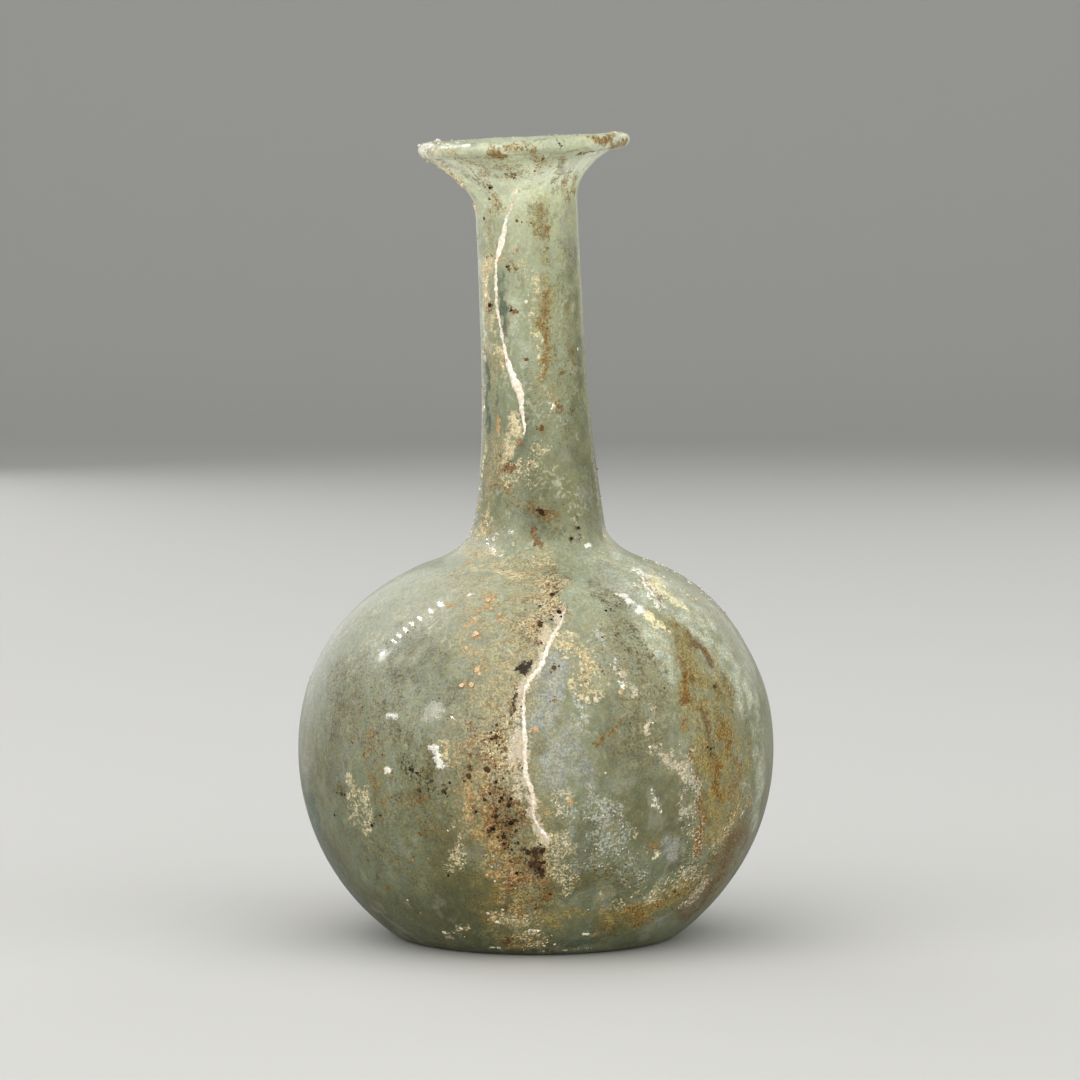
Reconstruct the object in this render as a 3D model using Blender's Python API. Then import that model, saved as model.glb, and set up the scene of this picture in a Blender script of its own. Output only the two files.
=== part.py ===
"""Free-blown glass flask: a round body, a tall leaning neck and a turned-out lip.

Metres, +Z up. The origin is on the ground, under the middle of the round body.
The flask is one piece of glass, hollow and open at the mouth. Its wall is turned from one
outline that runs from the middle of the underside, over the outside and the lip, and down
the inside to the middle of the floor. The neck is then leaned and the lip dipped a little,
as hand-made glass is.
"""
import math

import bmesh
import bpy
from mathutils import Vector

# Round body, outside
BODY_RADIUS = 0.0476
WIDEST_HEIGHT = 0.0375
DOME_HEIGHT = 0.0414
DOME_FULLNESS = 2.1

# Underside: a narrow flat ring round a shallow hollow
FOOT_RADIUS = 0.0280
FOOT_ROUNDING = 0.0011
FOOT_RING_WIDTH = 0.0020
KICK_HEIGHT = 0.0030

# Neck and lip, outside
NECK_LENGTH = 0.0806
NECK_FOOT_RADIUS = 0.0137
NECK_RADIUS = 0.01015
NECK_TAPER = 3.5
NECK_FILLET_DROP = 0.0030
NECK_FILLET_RISE = 0.0035
FLARE_HEIGHT = 0.0095
FLARE_CURVE = 2.2
LIP_RADIUS = 0.0210
LIP_OVERHANG = 0.0038
LIP_THICKNESS = 0.0032

# Thickness of the glass, and the funnel of the mouth
BODY_WALL = 0.0020
NECK_WALL = 0.0022
FLOOR_THICKNESS = 0.0028
FLOOR_ROUNDING = 0.0030
MOUTH_SETBACK = 0.0018
MOUTH_CURVE = 2.5

# How far the neck and the lip are out of true
NECK_LEAN = math.radians(-2.6)
LEAN_EASE = 0.0240
NECK_SET_OFF = 0.0006
SET_OFF_EASE = 0.0140
LIP_DIP = 0.0008
LIP_DIP_BEARING = math.radians(235)

# Fineness of the turned wall
SEGMENTS = 48
BODY_STEPS = 18
NECK_STEPS = 7
FLARE_STEPS = 6
UNDERSIDE_STEPS = 6
CORNER_STEPS = 4
SEAM_DISTANCE = 0.00001

GLASS_COLOUR = (0.50, 0.60, 0.50, 1.0)
GLASS_ROUGHNESS = 0.35
GLASS_CLEARNESS = 0.5

NECK_FOOT_HEIGHT = WIDEST_HEIGHT + DOME_HEIGHT
LIP_TOP = NECK_FOOT_HEIGHT + NECK_LENGTH
FLARE_TOP = LIP_TOP - LIP_THICKNESS
FLARE_FOOT = FLARE_TOP - FLARE_HEIGHT
BORE_RADIUS = NECK_RADIUS - NECK_WALL
RING_OUTSIDE = FOOT_RADIUS - FOOT_ROUNDING
RING_INSIDE = RING_OUTSIDE - FOOT_RING_WIDTH


def clear_scene():
    for old in list(bpy.data.objects):
        bpy.data.objects.remove(old, do_unlink=True)


def spaced(start, end, steps):
    """Evenly spaced numbers from start to end, both included."""
    return [start + (end - start) * step / steps for step in range(steps + 1)]


def smooth(share):
    """Ease from nought to one, flat at both ends."""
    share = min(1.0, max(0.0, share))
    return share ** 2 * (3.0 - 2.0 * share)


def rounded_corner(start, corner, end):
    """Points on the curve that leaves start for the corner and bends away to end."""
    points = []
    for share in spaced(0.0, 1.0, CORNER_STEPS):
        first = start.lerp(corner, share)
        second = corner.lerp(end, share)
        points.append(first.lerp(second, share))
    return points


def bowl_depth(wall):
    """Half height of the ellipse that the lower body follows, set in by a wall."""
    drop = math.sqrt(1.0 - (FOOT_RADIUS / BODY_RADIUS) ** 2)
    return WIDEST_HEIGHT / drop - wall


def body_radius(height, wall=0.0):
    """Radius of the round body at a height, set in by the thickness of the wall."""
    widest = BODY_RADIUS - wall
    rise = height - WIDEST_HEIGHT
    if rise < 0.0:
        share = min(1.0, -rise / bowl_depth(wall))
        return widest * math.sqrt(1.0 - share ** 2)
    share = min(1.0, rise / (DOME_HEIGHT - wall))
    return widest * (1.0 - share ** DOME_FULLNESS) ** (1.0 / DOME_FULLNESS)


def dome_height_at(radius, wall=0.0):
    """Height at which the body's dome has narrowed to a radius."""
    share = 1.0 - (radius / (BODY_RADIUS - wall)) ** DOME_FULLNESS
    return WIDEST_HEIGHT + (DOME_HEIGHT - wall) * share ** (1.0 / DOME_FULLNESS)


def body_points(bottom, top, wall):
    """The body's wall between two heights, with points evenly spread round its curve."""
    lowest = math.asin(max(-1.0, (bottom - WIDEST_HEIGHT) / bowl_depth(wall)))
    highest = math.asin(min(1.0, (top - WIDEST_HEIGHT) / (DOME_HEIGHT - wall)))
    points = []
    for turn in spaced(lowest, highest, BODY_STEPS):
        reach = bowl_depth(wall) if turn < 0.0 else DOME_HEIGHT - wall
        height = WIDEST_HEIGHT + reach * math.sin(turn)
        points.append(Vector((body_radius(height, wall), height)))
    return points


def neck_radius(height):
    """Outside of the neck, which draws in from its foot to the flare below the lip."""
    left = (FLARE_FOOT - height) / (FLARE_FOOT - NECK_FOOT_HEIGHT)
    return NECK_RADIUS + (NECK_FOOT_RADIUS - NECK_RADIUS) * max(0.0, left) ** NECK_TAPER


def flare_radius(height):
    """Outside of the neck where it opens out under the lip."""
    share = (height - FLARE_FOOT) / FLARE_HEIGHT
    spread = LIP_RADIUS - LIP_OVERHANG - NECK_RADIUS
    return NECK_RADIUS + spread * share ** FLARE_CURVE


def mouth_radius(height):
    """Inside of the mouth, a funnel that narrows down to the neck's bore."""
    share = (height - FLARE_FOOT) / (LIP_TOP - FLARE_FOOT)
    spread = LIP_RADIUS - MOUTH_SETBACK - BORE_RADIUS
    return BORE_RADIUS + spread * share ** MOUTH_CURVE


def kick(share):
    """Rise of the hollow under the flask, from its edge at one to its middle at nought."""
    return KICK_HEIGHT * (1.0 - smooth(share))


def underside_points():
    """Shallow hollow, flat foot ring and rounded edge, from the middle outwards."""
    points = []
    for share in spaced(0.0, 1.0, UNDERSIDE_STEPS):
        points.append(Vector((RING_INSIDE * share, kick(share))))
    wall_start = Vector((body_radius(FOOT_ROUNDING), FOOT_ROUNDING))
    edge = Vector((FOOT_RADIUS, 0.0))
    return points + rounded_corner(Vector((RING_OUTSIDE, 0.0)), edge, wall_start)


def outside_points():
    """Body, neck and flare, from the foot up to the underside of the lip."""
    corner = Vector((NECK_FOOT_RADIUS, dome_height_at(NECK_FOOT_RADIUS)))
    fillet_top = NECK_FOOT_HEIGHT + NECK_FILLET_RISE
    neck_start = Vector((neck_radius(fillet_top), fillet_top))
    points = body_points(FOOT_ROUNDING, corner.y - NECK_FILLET_DROP, 0.0)[1:]
    points += rounded_corner(points[-1], corner, neck_start)[1:]
    for height in spaced(fillet_top, FLARE_FOOT, NECK_STEPS)[1:]:
        points.append(Vector((neck_radius(height), height)))
    for height in spaced(FLARE_FOOT, FLARE_TOP, FLARE_STEPS)[1:]:
        points.append(Vector((flare_radius(height), height)))
    return points


def lip_points():
    """The thick edge of the lip, from its underside round to the top of the mouth."""
    lower = Vector((LIP_RADIUS - LIP_OVERHANG, FLARE_TOP))
    middle = Vector((LIP_RADIUS, LIP_TOP - LIP_THICKNESS / 2.0))
    upper = Vector((LIP_RADIUS - MOUTH_SETBACK, LIP_TOP))
    under = rounded_corner(lower, Vector((LIP_RADIUS, FLARE_TOP)), middle)
    over = rounded_corner(middle, Vector((LIP_RADIUS, LIP_TOP)), upper)
    return under[1:] + over[1:]


def inside_points():
    """Mouth, bore and inside of the body, from the lip down to the floor's edge."""
    bore_foot = NECK_FOOT_RADIUS - NECK_WALL
    corner = Vector((bore_foot, dome_height_at(bore_foot, BODY_WALL)))
    fillet_top = NECK_FOOT_HEIGHT + NECK_FILLET_RISE
    points = []
    for height in spaced(LIP_TOP, FLARE_FOOT, FLARE_STEPS)[1:]:
        points.append(Vector((mouth_radius(height), height)))
    for height in spaced(FLARE_FOOT, fillet_top, NECK_STEPS)[1:]:
        points.append(Vector((neck_radius(height) - NECK_WALL, height)))
    wall_foot = FLOOR_THICKNESS + FLOOR_ROUNDING
    wall = body_points(wall_foot, corner.y - NECK_FILLET_DROP, BODY_WALL)
    points += rounded_corner(points[-1], corner, wall[-1])[1:]
    return points + wall[-2::-1]


def floor_points(wall_end):
    """Inside of the bottom, which rises over the hollow of the underside."""
    corner = Vector((body_radius(FLOOR_THICKNESS, BODY_WALL), FLOOR_THICKNESS))
    edge = Vector((RING_INSIDE, FLOOR_THICKNESS))
    points = rounded_corner(wall_end, corner, edge)[1:]
    for share in spaced(1.0, 0.0, UNDERSIDE_STEPS)[1:]:
        points.append(Vector((RING_INSIDE * share, FLOOR_THICKNESS + kick(share))))
    return points


def wall_outline():
    """The whole section of the glass as radius and height, from underside to floor."""
    points = underside_points() + outside_points() + lip_points() + inside_points()
    return points + floor_points(points[-1])


def lean(height):
    """Sideways shift of the flask's axis at a height, and the slope of the axis there."""
    above = max(0.0, height - NECK_FOOT_HEIGHT)
    share = min(1.0, above / LEAN_EASE)
    bent = LEAN_EASE * share ** 3 * (1.0 - share / 2.0)
    straight = max(0.0, above - LEAN_EASE)
    set_off = NECK_SET_OFF * smooth(1.0 + (height - NECK_FOOT_HEIGHT) / SET_OFF_EASE)
    slope = math.tan(NECK_LEAN)
    return set_off + slope * (bent + straight), slope * smooth(share)


def lip_dip(x, y, height):
    """How far the lip sinks, most of all on one side."""
    share = max(0.0, (height - FLARE_FOOT) / (LIP_TOP - FLARE_FOOT))
    facing = 0.5 + 0.5 * math.cos(math.atan2(y, x) - LIP_DIP_BEARING)
    return LIP_DIP * share ** 2 * facing ** 2


def bend(vertices):
    """Lean the neck and dip the lip of a flask that was turned true."""
    for vertex in vertices:
        x, y, height = vertex.co
        shift, slope = lean(height)
        vertex.co = (x + shift, y, height - lip_dip(x, y, height) - slope * x)


def glass_material():
    material = bpy.data.materials.new("flask_glass")
    material.use_nodes = True
    shader = material.node_tree.nodes["Principled BSDF"]
    shader.inputs["Base Color"].default_value = GLASS_COLOUR
    shader.inputs["Roughness"].default_value = GLASS_ROUGHNESS
    shader.inputs["Metallic"].default_value = 0.0
    shader.inputs["Transmission Weight"].default_value = GLASS_CLEARNESS
    return material


def glass_flask():
    """Turn the outline round the upright axis into one closed wall of glass."""
    shape = bmesh.new()
    outline = [shape.verts.new((point.x, 0.0, point.y)) for point in wall_outline()]
    edges = [shape.edges.new(pair) for pair in zip(outline, outline[1:])]
    bmesh.ops.spin(
        shape,
        geom=outline + edges,
        cent=(0.0, 0.0, 0.0),
        axis=(0.0, 0.0, 1.0),
        angle=math.tau,
        steps=SEGMENTS,
        use_merge=True,
    )
    bmesh.ops.remove_doubles(shape, verts=shape.verts, dist=SEAM_DISTANCE)
    bmesh.ops.recalc_face_normals(shape, faces=shape.faces)
    bend(shape.verts)

    mesh = bpy.data.meshes.new("glass_flask")
    shape.to_mesh(mesh)
    shape.free()
    mesh.shade_smooth()
    mesh.materials.append(glass_material())
    flask = bpy.data.objects.new("glass_flask", mesh)
    bpy.context.scene.collection.objects.link(flask)


clear_scene()
glass_flask()
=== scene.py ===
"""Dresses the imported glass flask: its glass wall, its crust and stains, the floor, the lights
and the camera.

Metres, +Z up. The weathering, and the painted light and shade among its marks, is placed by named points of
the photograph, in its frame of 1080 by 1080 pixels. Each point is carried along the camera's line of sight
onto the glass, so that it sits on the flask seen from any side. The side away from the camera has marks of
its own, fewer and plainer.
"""
import math

import bpy
import numpy as np
from mathutils import Matrix, Vector, noise
from mathutils.bvhtree import BVHTree
from mathutils.kdtree import KDTree


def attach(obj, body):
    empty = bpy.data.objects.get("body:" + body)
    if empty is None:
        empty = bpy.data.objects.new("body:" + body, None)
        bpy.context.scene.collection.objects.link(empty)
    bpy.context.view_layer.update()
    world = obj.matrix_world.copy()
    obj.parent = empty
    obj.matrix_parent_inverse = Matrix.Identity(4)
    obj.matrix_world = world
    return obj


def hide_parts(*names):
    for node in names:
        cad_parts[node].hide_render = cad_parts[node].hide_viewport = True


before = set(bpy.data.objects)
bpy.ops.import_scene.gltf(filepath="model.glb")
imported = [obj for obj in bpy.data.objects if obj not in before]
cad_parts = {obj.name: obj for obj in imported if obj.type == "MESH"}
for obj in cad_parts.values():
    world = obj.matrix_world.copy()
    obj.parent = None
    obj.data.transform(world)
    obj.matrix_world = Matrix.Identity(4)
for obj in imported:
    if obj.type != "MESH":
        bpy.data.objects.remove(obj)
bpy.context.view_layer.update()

MM = 0.001

# The outline of the wall, as the solid has it
BODY_RADIUS = 47.6 * MM
WIDEST_HEIGHT = 37.5 * MM
DOME_HEIGHT = 41.4 * MM
DOME_FULLNESS = 2.1
FOOT_RADIUS = 28.0 * MM
FOOT_ROUNDING = 1.1 * MM
FOOT_RING_WIDTH = 2.0 * MM
KICK_HEIGHT = 3.0 * MM
NECK_LENGTH = 80.6 * MM
NECK_FOOT_RADIUS = 13.7 * MM
NECK_RADIUS = 10.15 * MM
NECK_TAPER = 3.5
NECK_FILLET_DROP = 3.0 * MM
NECK_FILLET_RISE = 3.5 * MM
FLARE_HEIGHT = 9.5 * MM
FLARE_CURVE = 2.2
LIP_RADIUS = 21.0 * MM
LIP_OVERHANG = 3.8 * MM
LIP_THICKNESS = 3.2 * MM
BODY_WALL = 2.0 * MM
NECK_WALL = 2.2 * MM
FLOOR_THICKNESS = 2.8 * MM
FLOOR_ROUNDING = 3.0 * MM
MOUTH_SETBACK = 1.8 * MM
MOUTH_CURVE = 2.5
NECK_LEAN = math.radians(-2.6)
LEAN_EASE = 24.0 * MM
NECK_SET_OFF = 0.6 * MM
SET_OFF_EASE = 14.0 * MM
LIP_DIP = 0.8 * MM
LIP_DIP_BEARING = math.radians(235)

NECK_FOOT_HEIGHT = WIDEST_HEIGHT + DOME_HEIGHT
LIP_TOP = NECK_FOOT_HEIGHT + NECK_LENGTH
FLARE_TOP = LIP_TOP - LIP_THICKNESS
FLARE_FOOT = FLARE_TOP - FLARE_HEIGHT
BORE_RADIUS = NECK_RADIUS - NECK_WALL
RING_OUTSIDE = FOOT_RADIUS - FOOT_ROUNDING
RING_INSIDE = RING_OUTSIDE - FOOT_RING_WIDTH

# How finely the glass is turned; the side that faces the camera has closer bearings
CURVE_SAMPLES = 240
FRONT_BEARING = math.radians(-90)
FRONT_HALF = math.radians(98)
FRONT_COLUMNS = 200
BACK_COLUMNS = 72
UNDERSIDE_GAP = 1.6 * MM
OUTSIDE_GAP = 0.9 * MM
LIP_GAP = 0.45 * MM
INSIDE_GAP = 3.2 * MM

# Unevenness of the blown glass: size of the swells in metres, and how far they rise
SWELLS = ((26 * MM, 0.16 * MM), (8 * MM, 0.010 * MM))
LIP_SWELL_SIZE = 2.6 * MM
LIP_SWELL = 0.16 * MM

# Places where the wall stands fuller: bearing, height, reach in degrees, reach in height, rise
FULL_PLACES = (
    (186, 151.6 * MM, 80, 6.4 * MM, 0.5 * MM),
    (-8, 69.0 * MM, 62, 13.0 * MM, 0.8 * MM),
)

# The stretch where the flare runs out into the lip without a step: where it ends under the lip's
# edge, how it curves, its bearing, and how far to each side it is full and reaches at all
SMOOTH_LIP_TOP = 157.6 * MM
SMOOTH_LIP_CURVE = 1.6
SMOOTH_LIP_BEARING = 226
SMOOTH_LIP_FULL = 50
SMOOTH_LIP_REACH = 104

# The photograph's camera
PHOTO_SIZE = 1080
FOCAL_PIXELS = 5101.4
SENSOR_WIDTH = 36.0
CAMERA_PLACE = Vector((0.8, -1015.0, 162.0)) * MM
CAMERA_PITCH = math.radians(4.664)
PIXEL_ON_GLASS = 0.2 * MM
PAST_THE_EDGE = 3.5 * MM
PATH_STEP = 2.0
RIDGE_PATH_STEP = 2.5

# Fineness of the crust's own mesh, and how it stands on the glass
CRUST_GAP = 0.30 * MM
CRUST_BACK_GAP = 0.60 * MM
CRUST_SINK = 0.05 * MM
CRUST_FLOOR = 0.14 * MM

# Each crust: its colour as it shows on a screen, its height and the size of its grains
CRUSTS = {
    "cream": ((212, 196, 156), 0.08 * MM, 0.50 * MM),
    "white": ((238, 236, 224), 0.18 * MM, 0.56 * MM),
    "pink": ((194, 182, 158), 0.11 * MM, 0.50 * MM),
    "yellow": ((232, 226, 190), 0.20 * MM, 0.56 * MM),
    "orange": ((200, 158, 104), 0.08 * MM, 0.54 * MM),
    "rust": ((124, 90, 48), 0.05 * MM, 0.50 * MM),
    "umber": ((46, 35, 20), 0.07 * MM, 0.50 * MM),
    "grey": ((174, 176, 163), 0.05 * MM, 0.44 * MM),
}
# Kinds of stain; the clear, teal, blue and milk kinds also carry painted shade and painted reflection
STAINS_AND_PAINTED_LIGHT = ("olive", "ochre", "beige", "clear", "blue", "milk", "gold", "teal", "brown")

# Marks on the side that the camera sees, by kind, each kind from the top down: width in pixels, strength,
# and the pixels of its path. Some marks of the clear, teal, blue, milk and white kinds are painted light
# and shade, as noted by them
MARKS = {
    "cream": (
        (7, 0.6, (428, 158), (438, 164), (448, 170), (458, 179)),
        (10, 0.7, (440, 165), (454, 176), (465, 186)),
        (12, 0.34, (521, 262), (528, 270), (533, 280), (536, 294)),
        (15, 0.6, (486, 266), (486, 280), (485, 296), (487, 308)),
        (13, 0.26, (532, 300), (535, 330), (539, 350), (543, 374)),
        (12, 0.6, (490, 318), (494, 334), (497, 350)), (7, 0.6, (499, 360), (502, 370), (504, 378)),
        (12, 0.26, (545, 388), (548, 400), (550, 414)),
        (16, 0.6, (515, 418), (516, 432), (511, 446), (506, 458)),
        (9, 0.8, (486, 436), (486, 446), (484, 456)),
        (26, 0.28, (540, 445), (545, 460), (520, 470), (500, 478)),
        (12, 0.45, (489, 516), (480, 530), (474, 542), (466, 553)),
        (8, 0.8, (474, 518), (471, 528), (466, 538), (459, 546)),
        (7, 0.5, (602, 531), (606, 541), (612, 547)), (26, 0.3, (480, 548), (510, 560), (545, 562)),
        (14, 0.42, (476, 566), (498, 572), (520, 576)), (26, 0.5, (555, 580), (548, 605), (540, 628)),
        (26, 0.42, (556, 640), (568, 640), (578, 648)), (34, 0.42, (588, 660), (588, 680), (594, 692)),
        (26, 0.3, (500, 720), (498, 745), (496, 770), (490, 785)),
        (9, 0.5, (443, 741), (446, 750), (447, 762)), (15, 0.38, (352, 776), (353, 790), (350, 800)),
        (26, 0.3, (560, 800), (562, 830), (566, 860), (572, 890)),
        (30, 0.36, (362, 806), (366, 814), (358, 820)),
        (14, 0.34, (454, 828), (462, 838), (458, 852), (454, 868)),
        (16, 0.42, (540, 832), (547, 842), (551, 856), (550, 872)), (6, 0.95, (635, 836), (637, 830)),
        (24, 0.2, (712, 850), (724, 836), (732, 816)), (40, 0.2, (498, 866), (512, 892), (520, 915)),
        (30, 0.26, (602, 906), (630, 900), (660, 886), (690, 868)),
        (30, 0.34, (508, 912), (520, 932), (530, 944)),
        (12, 0.26, (447, 937), (456, 934), (465, 929), (472, 923)),
    ),
    "white": (
        (3, 0.84, (464, 141), (480, 140), (494, 139.5), (506, 139)),
        (4, 1.05, (434, 143), (446, 144), (456, 146), (468, 145)),
        (13, 1, (424, 147), (421, 153), (427, 146), (434, 144)), (7, 0.35, (548, 404), (552, 412)),
        # The white mark from (586, 545) to (591, 545) is a painted highlight
        (9, 0.35, (500, 529), (492, 540), (490, 553), (498, 556)), (6, 0.6, (586, 545), (591, 545)),
        (15, 0.7, (638, 571), (642, 578), (645, 588)), (13, 0.6, (648, 590), (655, 600), (662, 606)),
        (6, 0.5, (466, 596), (474, 593)), (12, 1.1, (621, 598)), (13, 1.2, (629, 603)),
        (13, 1.2, (642, 610)), (6, 1, (670, 634)), (7, 0.42, (615, 663), (620, 676), (624, 688)),
        (2.6, 0.95, (387, 716), (392, 716.5), (397, 717)), (10, 1, (434, 748), (437, 754), (440, 760)),
        (6, 0.9, (385, 769), (388, 772)), (6, 0.6, (650, 788), (656, 800), (660, 812)),
        (8, 0.6, (532, 930), (537, 932)), (5, 1, (583, 934), (585, 934)),
    ),
    "pink": (
        (7, 0.85, (505, 153), (511, 156), (517, 160)), (9, 0.9, (423, 157), (428, 152), (436, 149)),
        (9, 0.9, (465, 189), (469, 195), (473, 201)),
        (7, 0.8, (562, 618), (553, 634), (545, 650), (540, 664)),
        (11, 0.75, (622, 676), (630, 684), (636, 692)), (8, 0.75, (651, 706), (655, 716), (649, 730)),
        (16, 0.85, (520, 712), (519, 730), (517, 750), (514, 770)),
        (14, 0.6, (655, 744), (664, 754), (676, 768), (682, 784)),
        (34, 0.31, (680, 760), (688, 786), (686, 812)), (18, 0.8, (512, 762), (514, 778), (520, 790)),
        (9, 0.8, (532, 800), (534, 812), (531, 820), (538, 830)),
        (44, 0.26, (692, 828), (696, 850), (694, 874)), (22, 0.4, (706, 880), (690, 900)),
    ),
    "yellow": (
        (3, 0.7, (590, 133), (605, 132), (620, 133), (627, 137)),
        (24, 0.95, (648, 578), (656, 584), (664, 592), (674, 600)),
        (10, 0.6, (672, 596), (680, 602), (686, 609)), (13, 1.1, (652, 617)), (12, 1.1, (660, 625)),
        (6, 0.9, (654, 856), (658, 855)),
        (2, 0.6, (484, 946), (510, 949), (540, 951), (566, 950), (590, 948)),
    ),
    "orange": (
        (9, 0.3, (438, 150), (446, 150), (456, 150)), (7, 0.5, (497, 247), (495, 254), (494, 261)),
        (5, 0.4, (507, 320), (507, 332)), (5, 1.12, (499, 420), (498, 429), (499, 438)),
        (24, 0.18, (476, 552), (500, 566), (530, 574)), (12, 0.25, (466, 559), (480, 560), (452, 574)),
        (14, 0.28, (573, 644), (579, 650), (583, 656)), (22, 0.24, (584, 664), (586, 676), (592, 688)),
        (6, 0.8, (530, 731), (536, 729)), (7, 0.3, (447, 742), (451, 752), (450, 766)),
        (40, 0.14, (470, 760), (472, 790), (482, 820)), (7, 0.6, (752, 794), (751, 806)),
        (34, 0.24, (472, 800), (470, 822), (480, 832)), (7, 0.9, (569, 803), (573, 801)),
        (14, 0.38, (486, 824), (494, 832), (500, 836)), (12, 0.4, (506, 866), (514, 876), (512, 884)),
        (8, 0.7, (488, 874), (494, 876)), (5, 0.7, (568, 918), (576, 919)),
        (9, 0.45, (488, 920), (494, 918), (499, 908)), (4, 0.7, (587, 936), (593, 935), (599, 932)),
    ),
    "rust": (
        (5, 0.8, (580, 153), (589, 152), (600, 150)), (5, 0.8, (532, 465), (531, 470)),
        (8, 0.75, (497, 473), (503, 468), (509, 464)), (5, 0.8, (491, 490), (497, 486)),
        (6, 0.5, (544, 514), (547, 519)), (9, 0.65, (533, 529), (533, 538), (537, 546)),
        (22, 0.3, (554, 580), (547, 606), (537, 636)), (26, 0.3, (644, 582), (656, 592), (668, 602)),
        (10, 0.35, (650, 587), (657, 597)), (6, 0.7, (603, 669), (607, 671)),
        (6, 0.6, (583, 672), (587, 680)), (30, 0.2, (500, 725), (492, 755), (496, 785), (506, 810)),
        (34, 0.32, (508, 802), (512, 826), (514, 850), (512, 874)),
    ),
    "umber": (
        (1.6, 1.12, (557, 139), (559, 143), (561, 146)), (3.6, 0.9, (539, 510), (542, 512)),
        (8, 0.3, (577, 515), (580, 532), (574, 541)), (26, 0.12, (604, 598), (622, 622), (640, 650)),
        (11, 0.75, (521, 668), (526, 663), (529, 670)), (6, 0.7, (516, 698), (515, 706), (512, 712)),
        (26, 0.1, (502, 735), (492, 760), (505, 790), (512, 812)),
        (22, 0.2, (404, 768), (424, 780), (440, 786)),
        (28, 0.22, (512, 806), (506, 826), (510, 846), (524, 848)),
        (12, 0.95, (524, 851), (533, 853), (541, 850)), (13, 0.9, (535, 859), (540, 865), (539, 872)),
    ),
    "grey": (
        (8, 0.75, (594, 626), (599, 635), (603, 645)), (14, 0.6, (578, 698), (584, 708), (580, 720)),
        (22, 0.34, (684, 766), (692, 790), (690, 812)), (12, 0.5, (744, 786), (748, 800), (742, 815)),
        (40, 0.42, (590, 806), (606, 816), (618, 832), (604, 846)),
        (44, 0.24, (606, 850), (630, 858), (640, 876)), (12, 0.25, (560, 932), (580, 934), (598, 928)),
    ),
    "olive": (
        (16.5, 0.5, (566, 155), (560, 164), (557, 172), (555, 180)),
        (22, 0.5, (448, 165), (462, 172), (478, 180), (484, 190)),
        (10.5, 0.56, (529, 199), (533, 202), (532, 207)), (11, 0.55, (546, 206), (549, 220), (549, 234)),
        (12, 0.55, (536, 208), (539, 220), (538, 232)),
        (18, 0.31, (562, 244), (566, 262), (560, 285), (552, 296)),
        (12, 0.56, (549, 250), (547, 258), (549, 265)),
        (24, 0.31, (552, 312), (556, 345), (562, 378), (568, 412), (570, 450)),
        (9, 0.62, (555, 347), (555, 356)), (21, 0.25, (530, 365), (534, 400), (536, 440)),
        (24, 0.34, (536, 486), (545, 505), (550, 530)), (30, 0.43, (518, 508), (528, 506), (536, 500)),
        (26, 0.75, (555, 575), (548, 598), (543, 618), (534, 640)),
        (30, 0.5, (602, 590), (616, 612), (632, 634), (640, 660)),
        (14, 0.5, (530, 600), (522, 616), (512, 632)), (60, 0.22, (400, 640), (450, 660), (460, 700)),
        (60, 0.4, (620, 640), (650, 690), (640, 740)),
        (18, 0.6, (392, 666), (400, 680), (404, 700), (386, 712)),
        (34, 0.45, (338, 668), (344, 684), (338, 704), (334, 740)),
        (12, 0.5, (722, 676), (730, 700), (736, 726)), (10, 0.6, (664, 682), (668, 688)),
        (90, 0.3, (350, 690), (400, 740), (420, 790), (400, 830)),
        (12, 0.8, (520, 690), (514, 710), (508, 730)),
        (60, 0.28, (350, 700), (390, 700), (440, 690), (470, 720)),
        (8, 0.5, (744, 700), (748, 722), (750, 745)), (14, 0.4, (622, 712), (612, 728), (596, 744)),
        (30, 0.6, (400, 735), (420, 748), (428, 770), (420, 794)),
        (40, 0.3, (430, 800), (448, 850), (470, 880)), (14, 0.6, (418, 812), (430, 818), (424, 834)),
        (34, 0.6, (732, 840), (722, 870), (704, 900)), (40, 0.4, (372, 850), (398, 862), (420, 880)),
        (70, 0.25, (420, 860), (470, 890), (560, 880), (620, 870)),
        (44, 0.6, (715, 860), (690, 890), (650, 912), (610, 930)),
        (22, 0.6, (608, 872), (622, 880), (636, 884)),
    ),
    "ochre": (
        (26, 0.16, (470, 164), (500, 176), (524, 190)),
        (20, 0.5, (541, 200), (545, 250), (545, 300), (547, 350), (548, 420)),
        (22, 0.55, (652, 612), (664, 624), (674, 640), (682, 660)),
        (22, 0.9, (678, 628), (690, 648), (694, 676), (690, 706)),
        (40, 0.7, (688, 648), (694, 690), (704, 740), (716, 790), (720, 830)),
        (92, 0.5, (712, 690), (728, 740), (738, 790), (735, 840), (715, 880)),
        (10, 0.9, (716, 700), (722, 740), (728, 780), (724, 820)),
        (88, 0.5, (508, 815), (515, 850), (522, 890), (526, 930)),
        (26, 0.5, (560, 912), (590, 916), (616, 918)), (40, 0.9, (620, 918), (648, 908), (676, 892)),
    ),
    "beige": (
        (20, 0.6, (492, 205), (488, 260), (490, 330), (494, 400)),
        (18, 0.6, (487, 270), (487, 300), (491, 330), (497, 360)),
        (34, 0.7, (498, 440), (492, 480), (486, 520)),
        (56, 0.7, (532, 566), (530, 600), (522, 640), (512, 676)),
        (44, 0.4, (470, 580), (486, 610), (480, 650)),
        (66, 0.75, (506, 690), (495, 730), (490, 770), (495, 800)),
        (84, 0.5, (492, 730), (484, 762), (486, 796), (496, 826)),
        (70, 0.45, (520, 790), (516, 830), (522, 870)),
    ),
    "clear": (
        # Painted shade: the darker right side of the neck
        (34, 0.5, (571, 250), (574, 330), (578, 400), (584, 470), (596, 530)),
        (8, 0.6, (496, 385), (498, 400), (499, 415)), (50, 0.55, (520, 430), (528, 476), (536, 520)),
        (64, 0.45, (400, 646), (424, 664), (440, 682)), (60, 0.2, (340, 660), (356, 636), (380, 616)),
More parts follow.
